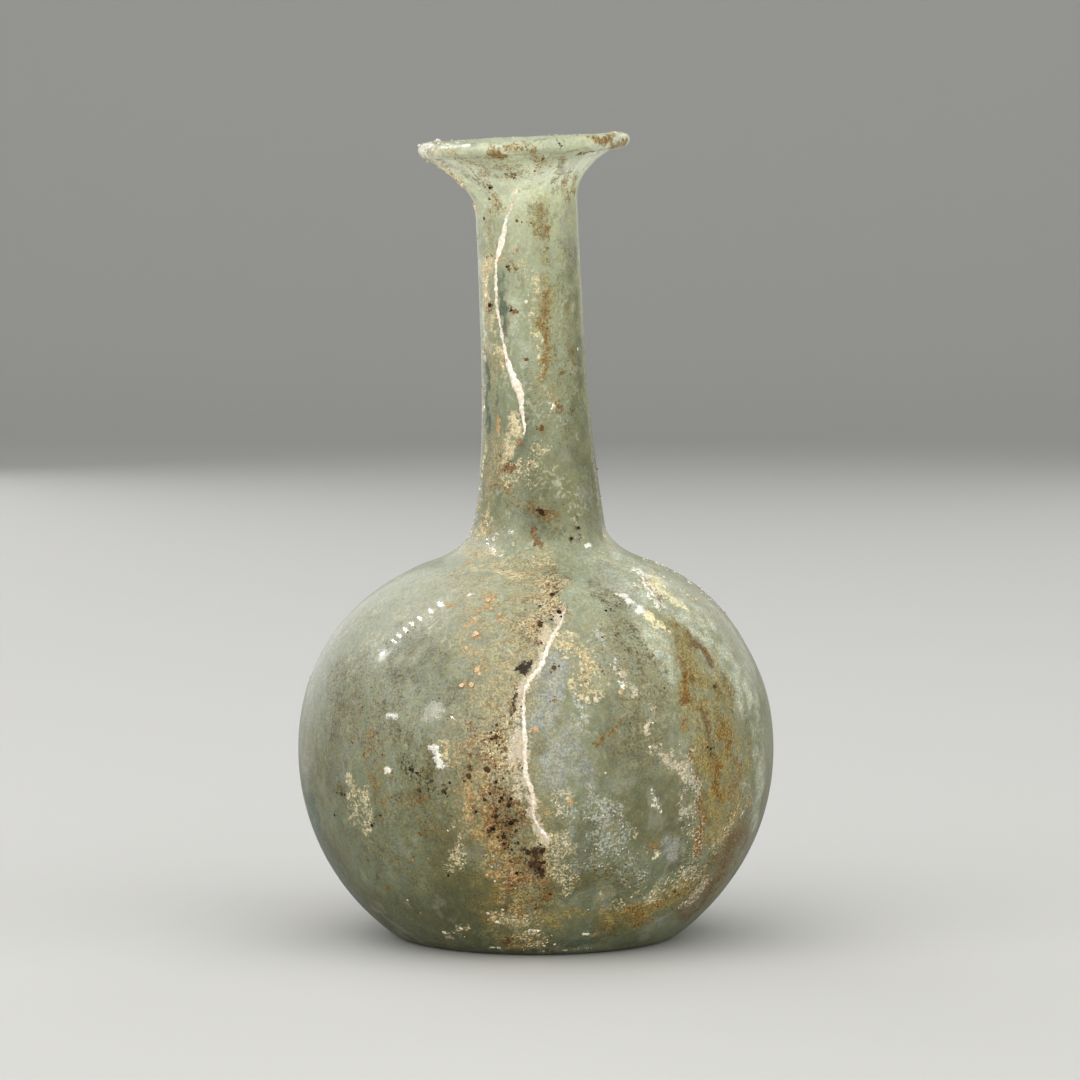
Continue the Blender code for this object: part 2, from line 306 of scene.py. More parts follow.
        # The mark from (332, 772) down the lower left edge is painted shade
        (44, 0.5, (604, 712), (622, 752), (640, 780)), (40, 0.45, (332, 772), (352, 822), (374, 866)),
        (22, 0.8, (586, 774), (590, 796), (588, 822)), (20, 0.9, (588, 848), (586, 860)),
        # The mark from (690, 875) to (748, 815) is painted shade low on the right
        (60, 0.9, (690, 875), (725, 850), (748, 815)), (46, 0.8, (400, 916), (422, 930), (448, 940)),
        (22, 1, (484, 934), (496, 932), (504, 930)),
    ),
    "blue": (
        (22, 0.5, (566, 205), (568, 235), (570, 262)), (24, 0.35, (580, 480), (588, 505), (598, 530)),
        # The marks along the left outline, from (333, 640) down to (304, 762), are a painted reflection on
        # the edge
        (30, 0.5, (606, 566), (618, 584), (634, 610)), (60, 0.5, (333, 640), (320, 666), (311, 691)),
        (100, 0.34, (325, 650), (335, 700), (345, 750), (380, 700)),
        (30, 1, (540, 690), (556, 668), (548, 710)),
        (60, 0.5, (311, 691), (305, 720), (304, 745), (304, 762)),
        (38, 0.9, (546, 718), (553, 745), (558, 772)), (24, 0.55, (572, 732), (584, 764), (592, 792)),
        (30, 0.4, (562, 796), (566, 830), (576, 866)), (50, 0.2, (590, 800), (612, 830), (634, 866)),
        (18, 0.9, (666, 838), (668, 860)), (13, 1, (658, 919), (666, 916)),
    ),
    "milk": (
        (18, 0.7, (485, 206), (486, 228), (487, 250)), (24, 0.12, (516, 210), (520, 250), (520, 290)),
        (18, 0.8, (484, 250), (485, 290), (486, 330), (489, 350)),
        (16, 0.4, (516, 300), (517, 330), (524, 360)),
        # The broad marks on the right shoulder are partly milky weathering and partly painted reflection
        (48, 0.58, (600, 560), (630, 585), (652, 630), (668, 668)),
        (64, 0.68, (625, 562), (665, 590), (705, 628), (738, 685)),
        # The marks down the right edge, from (745, 660) and from (744, 690), are partly painted reflection
        (30, 0.45, (745, 660), (758, 710), (762, 770), (757, 820)), (26, 0.5, (550, 690), (548, 730)),
        (12, 0.6, (744, 690), (752, 720), (756, 760)), (12, 0.4, (562, 764), (572, 782), (566, 796)),
    ),
    "gold": (
        (14, 0.95, (594, 138), (602, 140), (611, 138), (622, 142)),
        (12, 0.95, (612, 146), (619, 147), (626, 144)),
        (8, 0.6, (508, 148), (516, 146), (522, 152), (535, 152)),
        (12, 0.5, (520, 150), (536, 156), (548, 166)), (7, 0.8, (574, 151), (582, 148), (590, 149)),
        (14, 1.1, (489, 155), (496, 156), (503, 156)), (12, 0.7, (457, 158), (468, 160), (470, 167)),
        (30, 0.24, (470, 158), (500, 170), (530, 172), (560, 165)),
        (7, 0.6, (432, 161), (442, 164), (452, 166)),
        (18, 0.5, (470, 164), (480, 174), (490, 186), (494, 200)),
        (10, 0.7, (490, 167), (500, 168), (512, 167), (521, 166)),
        (10, 0.7, (570, 171), (567, 180), (566, 190), (568, 198)),
        (11, 0.7, (576, 172), (574, 182), (573, 192)),
        (10, 0.6, (489, 176), (498, 175), (506, 178), (513, 178)),
        (9, 0.45, (488, 209), (498, 210), (506, 211)), (8, 0.8, (547, 222), (549, 228), (550, 234)),
        (8, 0.6, (484, 251), (487, 256), (489, 262)), (9, 0.5, (503, 254), (507, 262), (509, 267)),
        (10, 0.55, (544, 300), (545, 325), (547, 345), (549, 372)),
        (10, 0.4, (566, 300), (570, 340), (574, 380)), (9, 0.7, (543, 314), (544, 320), (545, 327)),
        (16, 0.4, (500, 484), (520, 500), (552, 512)), (8, 0.7, (690, 640), (700, 645), (709, 655)),
        (9, 0.8, (680, 656), (688, 690), (682, 720), (690, 750), (698, 790)),
        (12, 0.6, (684, 690), (687, 704), (683, 716)),
        (46, 0.2, (352, 700), (372, 760), (410, 800), (452, 840)),
        (3.4, 1.4, (623, 713), (618, 723), (610, 730), (603, 738), (595, 745)),
        (20, 0.55, (722, 724), (732, 750), (738, 780), (730, 812)),
        (14, 0.75, (722, 728), (726, 738), (732, 750)), (16, 0.52, (366, 732), (372, 742), (369, 752)),
        (50, 0.3, (480, 745), (472, 775), (476, 800)), (16, 0.8, (714, 762), (718, 780), (728, 800)),
        (13, 0.6, (370, 770), (374, 786), (380, 798)), (16, 0.75, (698, 784), (706, 820), (700, 850)),
        (46, 0.35, (480, 800), (500, 850), (512, 900)), (12, 0.5, (648, 844), (652, 848)),
        (12, 0.45, (470, 850), (486, 850)), (7, 0.6, (392, 888), (382, 888), (377, 892), (378, 900)),
        (26, 0.5, (620, 916), (640, 924), (660, 900)), (20, 0.4, (512, 940), (530, 936), (544, 930)),
    ),
    "teal": (
        (6, 0.4, (444, 146), (470, 144), (510, 142), (554, 140)),
        # Painted shadow: the dark strip beside the ridge on the neck
        (9, 0.95, (499, 266), (501, 286), (503, 310), (506, 332)),
        (8, 1, (486, 345), (487, 375), (487, 405), (489, 430)),
        # Painted shade: the dark lower left edge of the body
        (52, 1, (306, 790), (316, 830), (336, 870), (360, 905)),
        (16, 1, (545, 943), (570, 942), (600, 938)),
    ),
    "brown": (
        (9, 0.55, (540, 208), (546, 222), (548, 238)),
        (12, 0.4, (543, 296), (544, 330), (546, 360), (548, 400), (546, 440)),
        (12, 1, (679, 627), (692, 641), (706, 650), (711, 662)),
        (9, 0.5, (676, 640), (684, 664), (686, 690), (682, 712)),
        (6, 0.9, (678, 664), (686, 675), (693, 684)),
        (4, 1, (690, 668), (694, 690), (702, 712), (712, 750)),
        (4, 0.7, (732, 680), (734, 692), (735, 700)), (7, 0.6, (716, 681), (718, 694), (717, 706)),
        (7, 1.1, (706, 713), (709, 730), (711, 746), (714, 757)),
        (44, 0.5, (504, 800), (514, 825), (520, 848), (518, 880)),
        (22, 0.7, (500, 806), (508, 822), (510, 838)), (64, 0.9, (740, 840), (722, 872), (700, 900)),
        (22, 0.8, (526, 850), (536, 858), (540, 872)), (12, 0.8, (511, 884), (511, 892)),
        (18, 0.35, (538, 884), (540, 905), (526, 914)), (12, 0.8, (546, 890), (546, 897)),
        (10, 1, (506, 940), (509, 943)),
    ),
    "crumb": (
        (4, 0.84, (450, 143), (500, 140), (560, 136), (620, 132)),
        (8, 0.9, (422, 156), (423, 148), (432, 145), (446, 143)),
        (9, 1, (441, 164), (452, 172), (461, 182), (467, 192), (473, 200)),
        (7, 0.7, (486, 300), (484, 340), (485, 430), (483, 470), (478, 510)),
        (10, 0.8, (474, 520), (468, 536), (458, 548)),
        (8, 0.7, (640, 566), (660, 575), (680, 588), (700, 602)),
        (14, 0.8, (648, 580), (662, 592), (676, 600)), (26, 0.34, (560, 640), (580, 660), (595, 690)),
        (26, 0.14, (505, 915), (525, 935), (545, 940)), (12, 0.1, (448, 936), (466, 928), (476, 920)),
    ),
}

# Round spots: pixel and width in pixels, darkest first
DARK_SPOTS = (
    (509.4, 175, 3.4), (491, 188, 3.6), (489.3, 306, 4.6), (511.6, 309.5, 3.0), (557, 405, 3.2),
    (508, 466.7, 4.2), (540.6, 510.7, 5.4), (571, 539.4, 3.4), (552.7, 586.6, 4.6), (560.7, 587, 2.4),
    (551, 594.9, 5.0), (557.8, 592, 2.4), (554, 575, 2.6), (558.8, 612, 5.2), (551, 618.8, 3.0),
    (540.6, 623.6, 5.0), (538.7, 607, 2.6), (540, 643, 3.2), (515, 703.9, 5.0), (495, 736.8, 5.2),
    (501, 737.6, 3.6), (496.6, 724.5, 3.0), (502, 750.6, 3.4), (499, 746, 3.0), (341, 792.7, 5.4),
    (334.6, 815.8, 2.8), (372, 824.6, 3.4), (380, 815.8, 2.8), (378.5, 878.8, 4.0), (419, 789.5, 4.2),
    (432.7, 788, 3.2), (443, 789.5, 4.6), (400, 795.9, 3.4), (412.8, 769.6, 3.6), (469, 767, 4.0),
    (467.8, 776, 4.2), (487.7, 769.6, 6.2), (497, 782, 3.2), (490.9, 794, 3.0), (502, 790, 3.2),
    (501, 797.5, 3.2), (510, 799.9, 3.4), (509, 817.4, 3.6), (511.6, 823, 4.0), (495.7, 815.8, 4.2),
    (491.7, 818, 3.2), (492.5, 829, 4.4), (488.5, 832.5, 3.0), (502, 836.5, 4.8), (516, 830, 3.0),
    (504, 843, 3.2), (511.6, 849, 3.6), (510.8, 891.5, 4.8), (516, 873, 4.0), (507.6, 877, 4.2),
    (546.5, 895, 5.0), (541.6, 886, 4.0), (647.7, 653, 3.4), (666.8, 686, 4.4), (711.4, 748, 5.0),
    (469, 776.5, 4.4), (519.5, 768, 3.6), (508, 768, 3.6), (500.6, 800, 4.0), (499, 806, 4.2),
    (508, 806, 4.0), (511, 824, 5.6), (490.5, 825.5, 4.2), (518, 843, 4.0), (510.7, 863, 3.4),
    (529, 853, 5.6), (536, 852, 5.6), (541, 850, 4.8), (531, 860, 4.4), (537, 865, 5.8),
    (543, 862, 4.8), (540, 871, 5.0), (520.7, 878, 3.6), (484, 800, 3.4), (478, 812, 3.2),
    (675, 892, 3.2), (577, 527, 3.0), (515, 268, 2.4), (507.6, 266.7, 2.4), (448, 875, 3.0),
)
BROWN_SPOTS = (
    (490, 199, 3.6), (484, 219, 3.0), (542, 158, 3.2), (536.5, 171, 2.6), (517, 220, 3.6),
    (517, 250, 4.0), (527.7, 358.9, 3.4), (541.5, 427.7, 4.2), (519, 443.8, 4.4), (499.6, 455.9, 3.6),
    (563.9, 379.5, 4.0), (559.9, 373.8, 3.4), (570, 411.7, 4.2), (553, 528.9, 3.2), (532, 628, 4.0),
    (472, 754.4, 4.4), (469, 767.4, 3.0), (458, 771, 3.0), (482, 789.5, 4.0), (473, 807, 3.6),
    (425.5, 796.7, 4.2), (420.7, 801.5, 4.2), (420.7, 833, 4.0), (413.6, 861, 4.4), (400, 858.9, 3.0),
    (366.5, 860, 3.0), (494, 836.5, 4.6), (498.9, 836.5, 3.0), (519.6, 878.8, 3.6), (535.5, 908, 4.6),
    (521, 914.7, 4.0), (713.6, 686, 3.8), (732, 691, 3.8), (554, 668, 5.0), (605.4, 670, 4.4),
    (554, 700, 3.6), (603, 870, 3.4), (596, 869.5, 3.4), (538, 906, 4.0), (506.8, 941, 6.0),
)
# Pale spots; those at (408.8, 900.3) and (420.7, 913) are painted glints
PALE_SPOTS_AND_GLINTS = (
    (577, 350, 4.0), (526.6, 301.5, 4.2), (494, 352, 3.6), (490.4, 334, 3.4), (548.4, 418.6, 3.4),
    (513.8, 543, 4.2), (621, 692.8, 4.0), (583, 712.7, 5.0), (589, 703, 3.0), (408.8, 900.3, 3.0),
    (420.7, 913, 3.2), (475.7, 917.8, 4.4), (465.4, 928, 3.8), (449.4, 937, 4.2), (583.8, 934, 4.0),
    (533, 931, 4.4), (649, 748, 3.6), (626, 776, 3.0), (606, 772, 2.8), (617, 744, 2.4),
    (661, 626.4, 4.4), (669.8, 632, 4.6), (652.5, 618.8, 4.0), (489, 552.8, 3.0), (499.5, 555.7, 3.6),
)

# Peach blobs on the left shoulder
PEACH_SPOTS = (
    (488, 601.8, 5.6), (486.6, 606.7, 3.6), (493, 610, 3.2), (479.3, 610, 2.8), (473.7, 617.5, 5.4),
    (500.3, 614.8, 3.0), (500.3, 618.8, 4.0), (474.2, 636.4, 4.0), (477, 633.6, 4.4), (467.2, 648, 4.2),
    (470, 652.6, 3.4), (475.4, 653.4, 3.2), (480.9, 650.2, 3.0), (476.2, 670.2, 5.0), (479, 673.2, 3.4),
    (484, 664.6, 3.6), (472, 684.2, 4.6), (462.8, 686.2, 3.8), (451, 606, 3.2), (457.4, 603, 3.0),
    (466, 606.6, 2.8), (504.4, 666.3, 3.0), (470.4, 563, 3.4), (477.6, 558, 3.2), (452, 575, 2.8),
)

# Runs of lumps that roughen the outline: how many, least and greatest width in pixels, how
# far they stray from their line, and the line's pixels
PALE_RUNS = (
    (30, 1.6, 5.4, 2.0, ((438, 164), (450, 172), (459, 183), (466, 196), (473, 208))),
    (60, 1.2, 4.2, 1.6, ((426, 159), (438, 166), (450, 174), (461, 183), (467, 193), (474, 204))),
    (14, 1.4, 4.0, 1.2, ((417, 151), (419, 158), (430, 162), (440, 165))),
    (12, 1.0, 2.6, 1.0, ((484, 300), (483, 400), (484, 470), (478, 510))),
)
WHITE_RUNS = (
    (20, 1.6, 5.2, 1.4, ((418, 149), (421, 143), (432, 142), (448, 143))),
    (26, 1.0, 3.6, 0.8, ((448, 143), (490, 139), (540, 136), (600, 131.6))),
    (90, 0.8, 3.2, 0.9, ((636, 558), (656, 563), (678, 574), (701, 591), (726, 614))),
    (16, 1.4, 4.2, 1.2, ((475, 520), (468, 537), (457, 549))),
)

# The two long ridges, edges of a crust that has flaked away: pixels with width in pixels
NECK_RIDGE = (
    (517, 189, 1.8), (513, 200, 2.2), (510, 210, 2.0), (506.5, 217, 2.0), (505, 225, 2.6),
    (503.4, 235, 5.2),
    (501, 244, 6.4), (498.4, 254, 3.6), (496, 262, 2.0), (495.8, 275, 2.4), (496, 290, 2.4),
    (496.5, 302, 2.0), (498, 314, 2.2), (501, 328, 2.2), (503.4, 342, 2.2), (505.5, 355, 2.6),
    (508.5, 364.5, 5.2), (511.5, 373, 5.0), (514, 380.5, 6.6), (517.5, 387.5, 6.8), (520, 394, 7.0),
    (521, 401, 4.2), (521.6, 410, 2.8), (523, 418, 2.4), (524.5, 425, 2.2), (524.2, 436, 1.2),
)
BODY_RIDGE = (
    (565, 610, 1.2), (560.5, 624, 2.4), (554, 634, 3.0), (549, 644, 3.4), (545, 655, 3.6),
    (541, 667, 3.6), (535, 673.5, 4.6), (529.5, 679.5, 4.4), (526, 687, 2.8), (524, 697, 2.6),
    (523.6, 708, 2.8), (523.8, 720, 2.8), (524.4, 732, 3.2), (524.8, 745, 3.4), (524.8, 757, 3.2),
    (525, 768, 3.4), (526.5, 778, 4.0), (530.5, 787, 4.2), (532.5, 796, 3.6), (534, 806, 3.0),
    (533, 815, 2.6), (536, 823, 2.4), (542, 831, 2.0), (549, 839, 1.2),
)
RIDGE_LAYER_SHIFT = 3.5
RIDGE_LAYER_WIDTH = 8.0
RIDGE_LAYER_STRENGTH = 1.4
RIDGE_WIDENING = 1.35
RIDGE_UNEVEN = 0.5
RIDGE_UNEVEN_SIZE = 1.1 * MM
HALO_SIZE = 3.2
HALO_STRENGTH = 0.7
PEACH_HALO = 0.35
HALO_RUSTY_FROM = 470
HALO_RUSTY_TO = 600
RIDGE_SINK = 0.55
RIDGE_LIFT = 0.10 * MM
RIDGE_STEP = 0.2 * MM
RIDGE_SIDES = 14
RIDGE_ROUGHNESS = 0.8 * MM

# Lamps whose mirror images show on the left shoulder: pixel, width and height, power
GLINT_DISTANCE = 0.9
GLINT_WIDTH = 0.013
GLINT_HEIGHT = 0.070
GLINT_POWER = 0.5
SHOULDER_GLINTS = (
    (393.3, 641), (398.9, 635.5), (404.6, 630), (411.7, 624), (420, 618), (429.6, 611), (440, 604),
)
GLINTS = (
    *((pixel, GLINT_WIDTH, GLINT_HEIGHT, GLINT_POWER) for pixel in SHOULDER_GLINTS),
    ((382, 654), 0.030, 0.050, 0.8),
    ((383, 655), 0.09, 0.09, 0.8),
    ((431, 711), 0.19, 0.10, 2.0),
    ((440, 713), 0.10, 0.06, 0.9),
    ((452, 718), 0.014, 0.032, 0.3),
)
NEAREST_CORNERS = 4
LEAST_DISTANCE = 0.05 * MM

# How a mark's edge wanders, how its strength varies and how it fades away from its path
WANDER_WIDE_SIZE = 5.0 * MM
WANDER_FINE_SIZE = 1.3 * MM
WANDER_SHARE = 1.2
WANDER_WIDE_MOST = 3.0 * MM
WANDER_FINE_MOST = 1.2 * MM
PATCH_SIZE = 2.4 * MM
PATCH_MIDDLE = 1.0
PATCH_CONTRAST = 1.1
PATCH_LEAST = 0.3
PATCH_MOST = 1.25
MARK_REACH = 2.5
MARK_FULL = 0.35
MARK_FADE = 1.05

# The side away from the camera: kind, how many marks, their width, strength and rise
BACK_SEED = 5983
BACK_HALF = math.radians(88)
BACK_HEIGHTS = (8 * MM, 150 * MM)
BACK_POINTS = 6
BACK_DRIFT = math.radians(16)
BACK_WANDER = math.radians(2.5)
BACK_SIZES = (0.6, 1.3)
FAR_OFF = 0.3
BACK_MARKS = (
    ("olive", 16, 8 * MM, 0.6, 14 * MM),
    ("milk", 6, 10 * MM, 0.6, 12 * MM),
    ("clear", 5, 9 * MM, 0.6, 12 * MM),
    ("cream", 12, 3.4 * MM, 0.45, 10 * MM),
    ("cream", 7, 0.9 * MM, 0.7, 7 * MM),
    ("pink", 4, 4 * MM, 0.5, 9 * MM),
    ("orange", 9, 2.6 * MM, 0.4, 6 * MM),
    ("rust", 12, 2.4 * MM, 0.42, 6 * MM),
    ("umber", 6, 2.0 * MM, 0.3, 4 * MM),
    ("white", 6, 1.3 * MM, 0.5, 3 * MM),
    ("grey", 5, 5 * MM, 0.35, 6 * MM),
)

# How the crust breaks up; its chance is noise, given by roughness, step between sizes and
# number of sizes, and set off by a shift for each turn
CHANCE_NOISE = (0.7, 2.0, 3)
CHANCE_SHIFT = (7.3, 3.1, 5.7)
FILLING_ROUNDS = 4
CRUST_FAINTEST = 0.04
CRUST_EDGE = 0.20
CRUST_THINNEST = 0.012 * MM
CRUST_ROUGH_SIZE = 0.55 * MM
CRUST_ROUGH_TURN = 11
CRUST_LOWEST = 0.45
CRUST_SHADE_SIZE = 1.3 * MM
CRUST_SHADE_TURN = 12
CRUST_DARKEST = 0.72
CRUST_SPLIT_DROP = 5.0 * MM
SWELL_EASE = 7.0 * MM

# Grains and spots that stand on the glass
RIDGE_GRAIN = 0.8 * MM
GRAIN_LUMP = 0.5 * MM
GRAIN_SKEW = 2.2
GRAIN_FLATNESS = 0.5
GRAIN_ROUGHNESS = 0.45 * MM
PEACH_GROWTH = 1.15
SATELLITES = 7
SATELLITE_REACH = (0.40, 1.45)
SATELLITE_SIZES = (0.18, 0.52)
LUMP_FLATNESS = 0.8
SPOT_FLATNESS = 0.3
SPOT_ROUGHNESS = 1.7 * MM
GRAIN_DRAWN_OUT = 0.8
GRAIN_NARROWEST = 0.7
JOLT_DETAIL = 2.0
CHANCE_GAP = 100.0

# Colours as they show on a screen, from the foot of the flask, 0, to its lip, 1. They hold painted light
# and shade: darker towards the foot, partly as thicker glass and partly as painted shade, and much lighter
# on the flare's underside, 0.93 to 0.96, as painted light
GLASS_AND_PAINTED_LIGHT_BY_HEIGHT = (
    (0.00, (88, 92, 61)),
    (0.10, (96, 97, 63)),
    (0.24, (126, 127, 94)),
    (0.42, (170, 172, 141)),
    (0.47, (194, 198, 170)),
    (0.53, (136, 138, 99)),
    (0.60, (130, 133, 96)),
    (0.74, (158, 162, 126)),
    (0.86, (178, 183, 145)),
    (0.90, (198, 203, 166)),
    (0.93, (238, 244, 212)),
    (0.957, (250, 255, 236)),
    (0.98, (214, 220, 190)),
)
HEIGHT_WANDER = 0.14
WARM_TURN = (1.06, 1.0, 0.89, 1.0)
COOL_TURN = (0.98, 1.0, 1.02, 1.0)

# Noise patterns of the finishes: size, detail, roughness, where in the noise they start, and
# how much they are drawn out upwards
BROAD_PATTERN = (22 * MM, 2.0, 0.55, 0.0, 1.0)
CLOUD_PATTERN = (6 * MM, 3.0, 0.65, 0.3, 0.7)
INNER_PATTERN = (6 * MM, 3.0, 0.65, 0.3, 1.0)
MOTTLE_PATTERN = (1.8 * MM, 3.0, 0.72, 0.5, 0.7)
FINE_PATTERN = (0.42 * MM, 1.0, 0.7, 0.9, 1.0)
CRUST_PATTERN = (0.36 * MM, 3.0, 0.65, 0.2, 1.0)
EDGE_PATTERN = (0.5 * MM, 3.0, 0.65, 0.8, 1.0)
EDGE_TINT_PATTERN = (4.5 * MM, 3.0, 0.6, 1.4, 1.0)
EDGE_RUST_PATTERN = (1.6 * MM, 3.0, 0.6, 2.2, 1.0)
GRAIN_PATTERNS = {
    "fine dark": (0.45 * MM, 2.0, 0.6, 1.15, 1.0),
    "fine pale": (0.45 * MM, 2.0, 0.6, 2.15, 1.0),
    "coarse dark": (0.9 * MM, 2.0, 0.6, 1.6, 1.0),
    "coarse pale": (0.9 * MM, 2.0, 0.6, 2.6, 1.0),
}
# The laces that films follow: 4 to 7 are the holes of these four, and 8 is the round lace
LACE_PATTERNS = (
    (1.4 * MM, 3.0, 0.75, 1.3, 1.0),
    (2.0 * MM, 3.0, 0.75, 2.3, 1.0),
    (1.0 * MM, 3.0, 0.75, 3.3, 1.0),
    (1.5 * MM, 3.0, 0.75, 4.3, 0.32),
)
ROUND_LACE_PATTERN = (0.9 * MM, 3.0, 0.75, 6.3, 2.0)

# Washes of colour: where in its cloud each begins and is full, how much of it lies there, and
# its colour
GREEN_WASH = (0.46, 0.60, 0.35, (146, 162, 134))
PALE_WASH = (0.50, 0.64, 0.30, (192, 195, 176))
OLIVE_WASH = (0.50, 0.38, 0.24, (130, 120, 74))
BROWN_WASH = (0.52, 0.70, 0.25, (156, 126, 82))
EDGE_RUST_WASH = (0.60, 0.72, 0.55, (186, 140, 98))
INNER_WASH = (0.30, 0.70, 0.35, (146, 162, 134))

# Mottling of the glass: olive curls and chalky grains, and the bands of noise they lie in
OLIVE_MOTTLE = (112, 103, 56)
CHALK_MOTTLE = (210, 210, 190)
MOTTLE_SHARE = 0.55
THREAD_SHARE = 0.45
THREAD_BAND = (0.030, 0.006)
OLIVE_CLOUD_BAND = (0.46, 0.57)
OLIVE_MOTTLE_BAND = (0.53, 0.62)
CHALK_CLOUD_BAND = (0.54, 0.42)
CHALK_GRAIN_BAND = (0.50, 0.62)
CHALK_HEIGHT_BAND = (0.06, 0.45)

# Shading of a colour by noise: the band of the noise, and the least and most that it gives
MOTTLE_SHADING = (0.36, 0.64, 0.82, 1.16)
SPECKLE_SHADING = (0.36, 0.64, 0.86, 1.13)
CRUST_SHADING = (0.38, 0.62, 0.68, 1.14)
GRAIN_SHADING = (0.38, 0.62, 0.72, 1.12)
EDGE_SHADING = (0.38, 0.62, 0.70, 1.06)
TONE_BAND = (0.40, 0.60)
CALM_HEIGHT_BAND = (0.46, 0.60)
CALM_SHARE = 0.45

# Thin films over the glass, the lowest first: kind, how much of it lies as an even veil, how
# much as torn lace, its darker and its lighter tone, and which lace it follows
FILMS = (
    # The clear and teal films also lie as painted shade, and the blue and milk films as painted reflection,
    # where their marks are set for it
    ("clear", 0.80, 0.10, (96, 101, 72), (114, 118, 88), 0),
    ("teal", 0.78, 0.12, (74, 90, 72), (98, 110, 90), 0),
    ("milk", 0.62, 0.20, (204, 210, 184), (232, 238, 216), 1),
    ("blue", 0.62, 0.18, (160, 161, 150), (180, 182, 174), 2),
    ("olive", 0.36, 0.32, (96, 88, 46), (138, 128, 80), 2),
    ("ochre", 0.74, 0.20, (142, 122, 62), (180, 164, 104), 3),
    ("beige", 0.60, 0.14, (162, 148, 108), (200, 188, 150), 5),
    ("gold", 0.24, 0.42, (138, 98, 22), (180, 140, 52), 8),
    ("brown", 0.50, 0.30, (88, 64, 30), (126, 98, 54), 4),
    ("cream", 0.20, 0.56, (174, 158, 114), (220, 206, 170), 6),
    ("yellow", 0.30, 0.60, (190, 180, 130), (240, 234, 204), 4),
    ("pink", 0.24, 0.56, (150, 136, 108), (202, 188, 162), 0),
    ("white", 0.20, 0.65, (194, 190, 172), (248, 246, 236), 1),
    ("grey", 0.22, 0.52, (142, 143, 128), (184, 186, 174), 2),
    ("orange", 0.12, 0.55, (166, 120, 62), (210, 170, 114), 0),
    ("rust", 0.24, 0.50, (100, 72, 34), (152, 114, 60), 4),
    ("umber", 0.20, 0.74, (24, 18, 10), (58, 43, 23), 5),
)
VEIL_BAND = (0.0, 0.9)
LACE_BEGIN_BAND = (0.03, 0.35)
LACE_GAIN = 0.80
LACE_CONTRAST = 4.0
LACE_BAND = (0.42, 0.62)

# Specks on the films: kind, colour, grain, how far a strong film spreads them, and their share
SPECKS = (
    ("olive", (104, 92, 48), "coarse dark", 0.15, 0.55),
    ("olive", (80, 70, 36), "fine dark", 0.14, 0.65),
    ("ochre", (124, 100, 46), "coarse dark", 0.12, 0.30),
    ("ochre", (100, 78, 36), "fine dark", 0.10, 0.30),
    ("beige", (140, 114, 68), "coarse dark", 0.11, 0.45),
    ("beige", (218, 206, 172), "fine pale", 0.14, 0.28),
    ("gold", (150, 106, 26), "coarse dark", 0.15, 0.55),
    ("gold", (112, 74, 16), "fine dark", 0.18, 0.75),
    ("grey", (204, 206, 198), "fine pale", 0.20, 0.45),
    ("cream", (216, 202, 162), "coarse pale", 0.18, 0.60),
    ("cream", (230, 218, 182), "fine pale", 0.20, 0.75),
    ("yellow", (242, 236, 192), "coarse pale", 0.24, 0.80),
    ("pink", (232, 220, 198), "fine pale", 0.22, 0.70),
    ("white", (248, 246, 236), "coarse pale", 0.24, 0.85),
    ("orange", (196, 148, 88), "fine dark", 0.22, 0.80),
    ("rust", (122, 86, 40), "coarse dark", 0.18, 0.60),
    ("rust", (98, 64, 28), "fine dark", 0.22, 0.80),
    ("umber", (54, 40, 22), "fine dark", 0.25, 0.85),
    ("umber", (42, 32, 20), "coarse dark", 0.22, 0.85),
)
SPECK_BEGIN_BAND = (0.02, 0.25)
SPECK_EDGE = 0.64
SPECK_SOFTNESS = 0.05

# Surfaces: roughness and sheen, and bumps as strength and depth
MOTTLE_RELIEF = 1.5
GLASS_BUMP = (0.40, 0.12 * MM)
GLASS_ROUGHNESS_LOW = 0.28
HIDDEN_ROUGHNESS = 0.35
CLOUD_ROUGHNESS = 0.30
GLASS_SPECULAR = 0.25
GLASS_IOR = 1.5
GLASS_CLEARNESS = 0.35
COAT_MOST = 0.17
COAT_FROM_HEIGHT = (0.12, 0.42)
COAT_CLOUD_BAND = (0.30, 0.50)
COAT_ROUGHNESS = 0.05
INNER_ROUGHNESS = -0.05
CRUST_RAGGEDNESS = 3.6
CRUST_COVER_BAND = (0.25, 0.75)
CRUST_COVER_MOST = 0.75
CRUST_BUMP = (0.5, 0.12 * MM)
CRUST_DULLNESS = (0.75, 0.3)
EDGE_BUMP = (0.6, 0.15 * MM)
EDGE_DULLNESS = (0.8, 0.3)
GRAIN_BUMP = (0.5, 0.08 * MM)
GRAIN_SPECULAR = 0.12
GRAIN_DETAIL = 2.0
GRAIN_DETAIL_ROUGHNESS = 0.6
GRAIN_START = 0.4
FLOOR_ROUGHNESS = 0.9
EDGE_TINTS = ((0.34, (244, 240, 228)), (0.52, (238, 226, 208)), (0.66, (226, 206, 180)))

# Finishes of the spots and grains: the steps of their shades, roughness and size of grain
GRAIN_FINISHES = {
    "iron_spot": (((0.0, (24, 18, 12)), (0.6, (52, 38, 22)), (1.0, (84, 60, 34))), 0.6, 0.4 * MM),
    "rust_spot": (((0.0, (84, 60, 30)), (0.5, (122, 88, 48)), (1.0, (168, 130, 82))), 0.7, 0.4 * MM),
    "limy_grain": (
        ((0.0, (176, 160, 120)), (0.4, (206, 194, 160)), (0.85, (230, 225, 206)), (1.0, (196, 158, 112))),
        0.75, 0.4 * MM,
    ),
    "peach_crust": (
        ((0.0, (182, 148, 102)), (0.5, (206, 174, 130)), (1.0, (222, 196, 156))), 0.75, 0.3 * MM,
    ),
    "white_crust": (
        ((0.0, (206, 198, 176)), (0.5, (228, 224, 208)), (1.0, (244, 242, 232))), 0.75, 0.3 * MM,
    ),
}

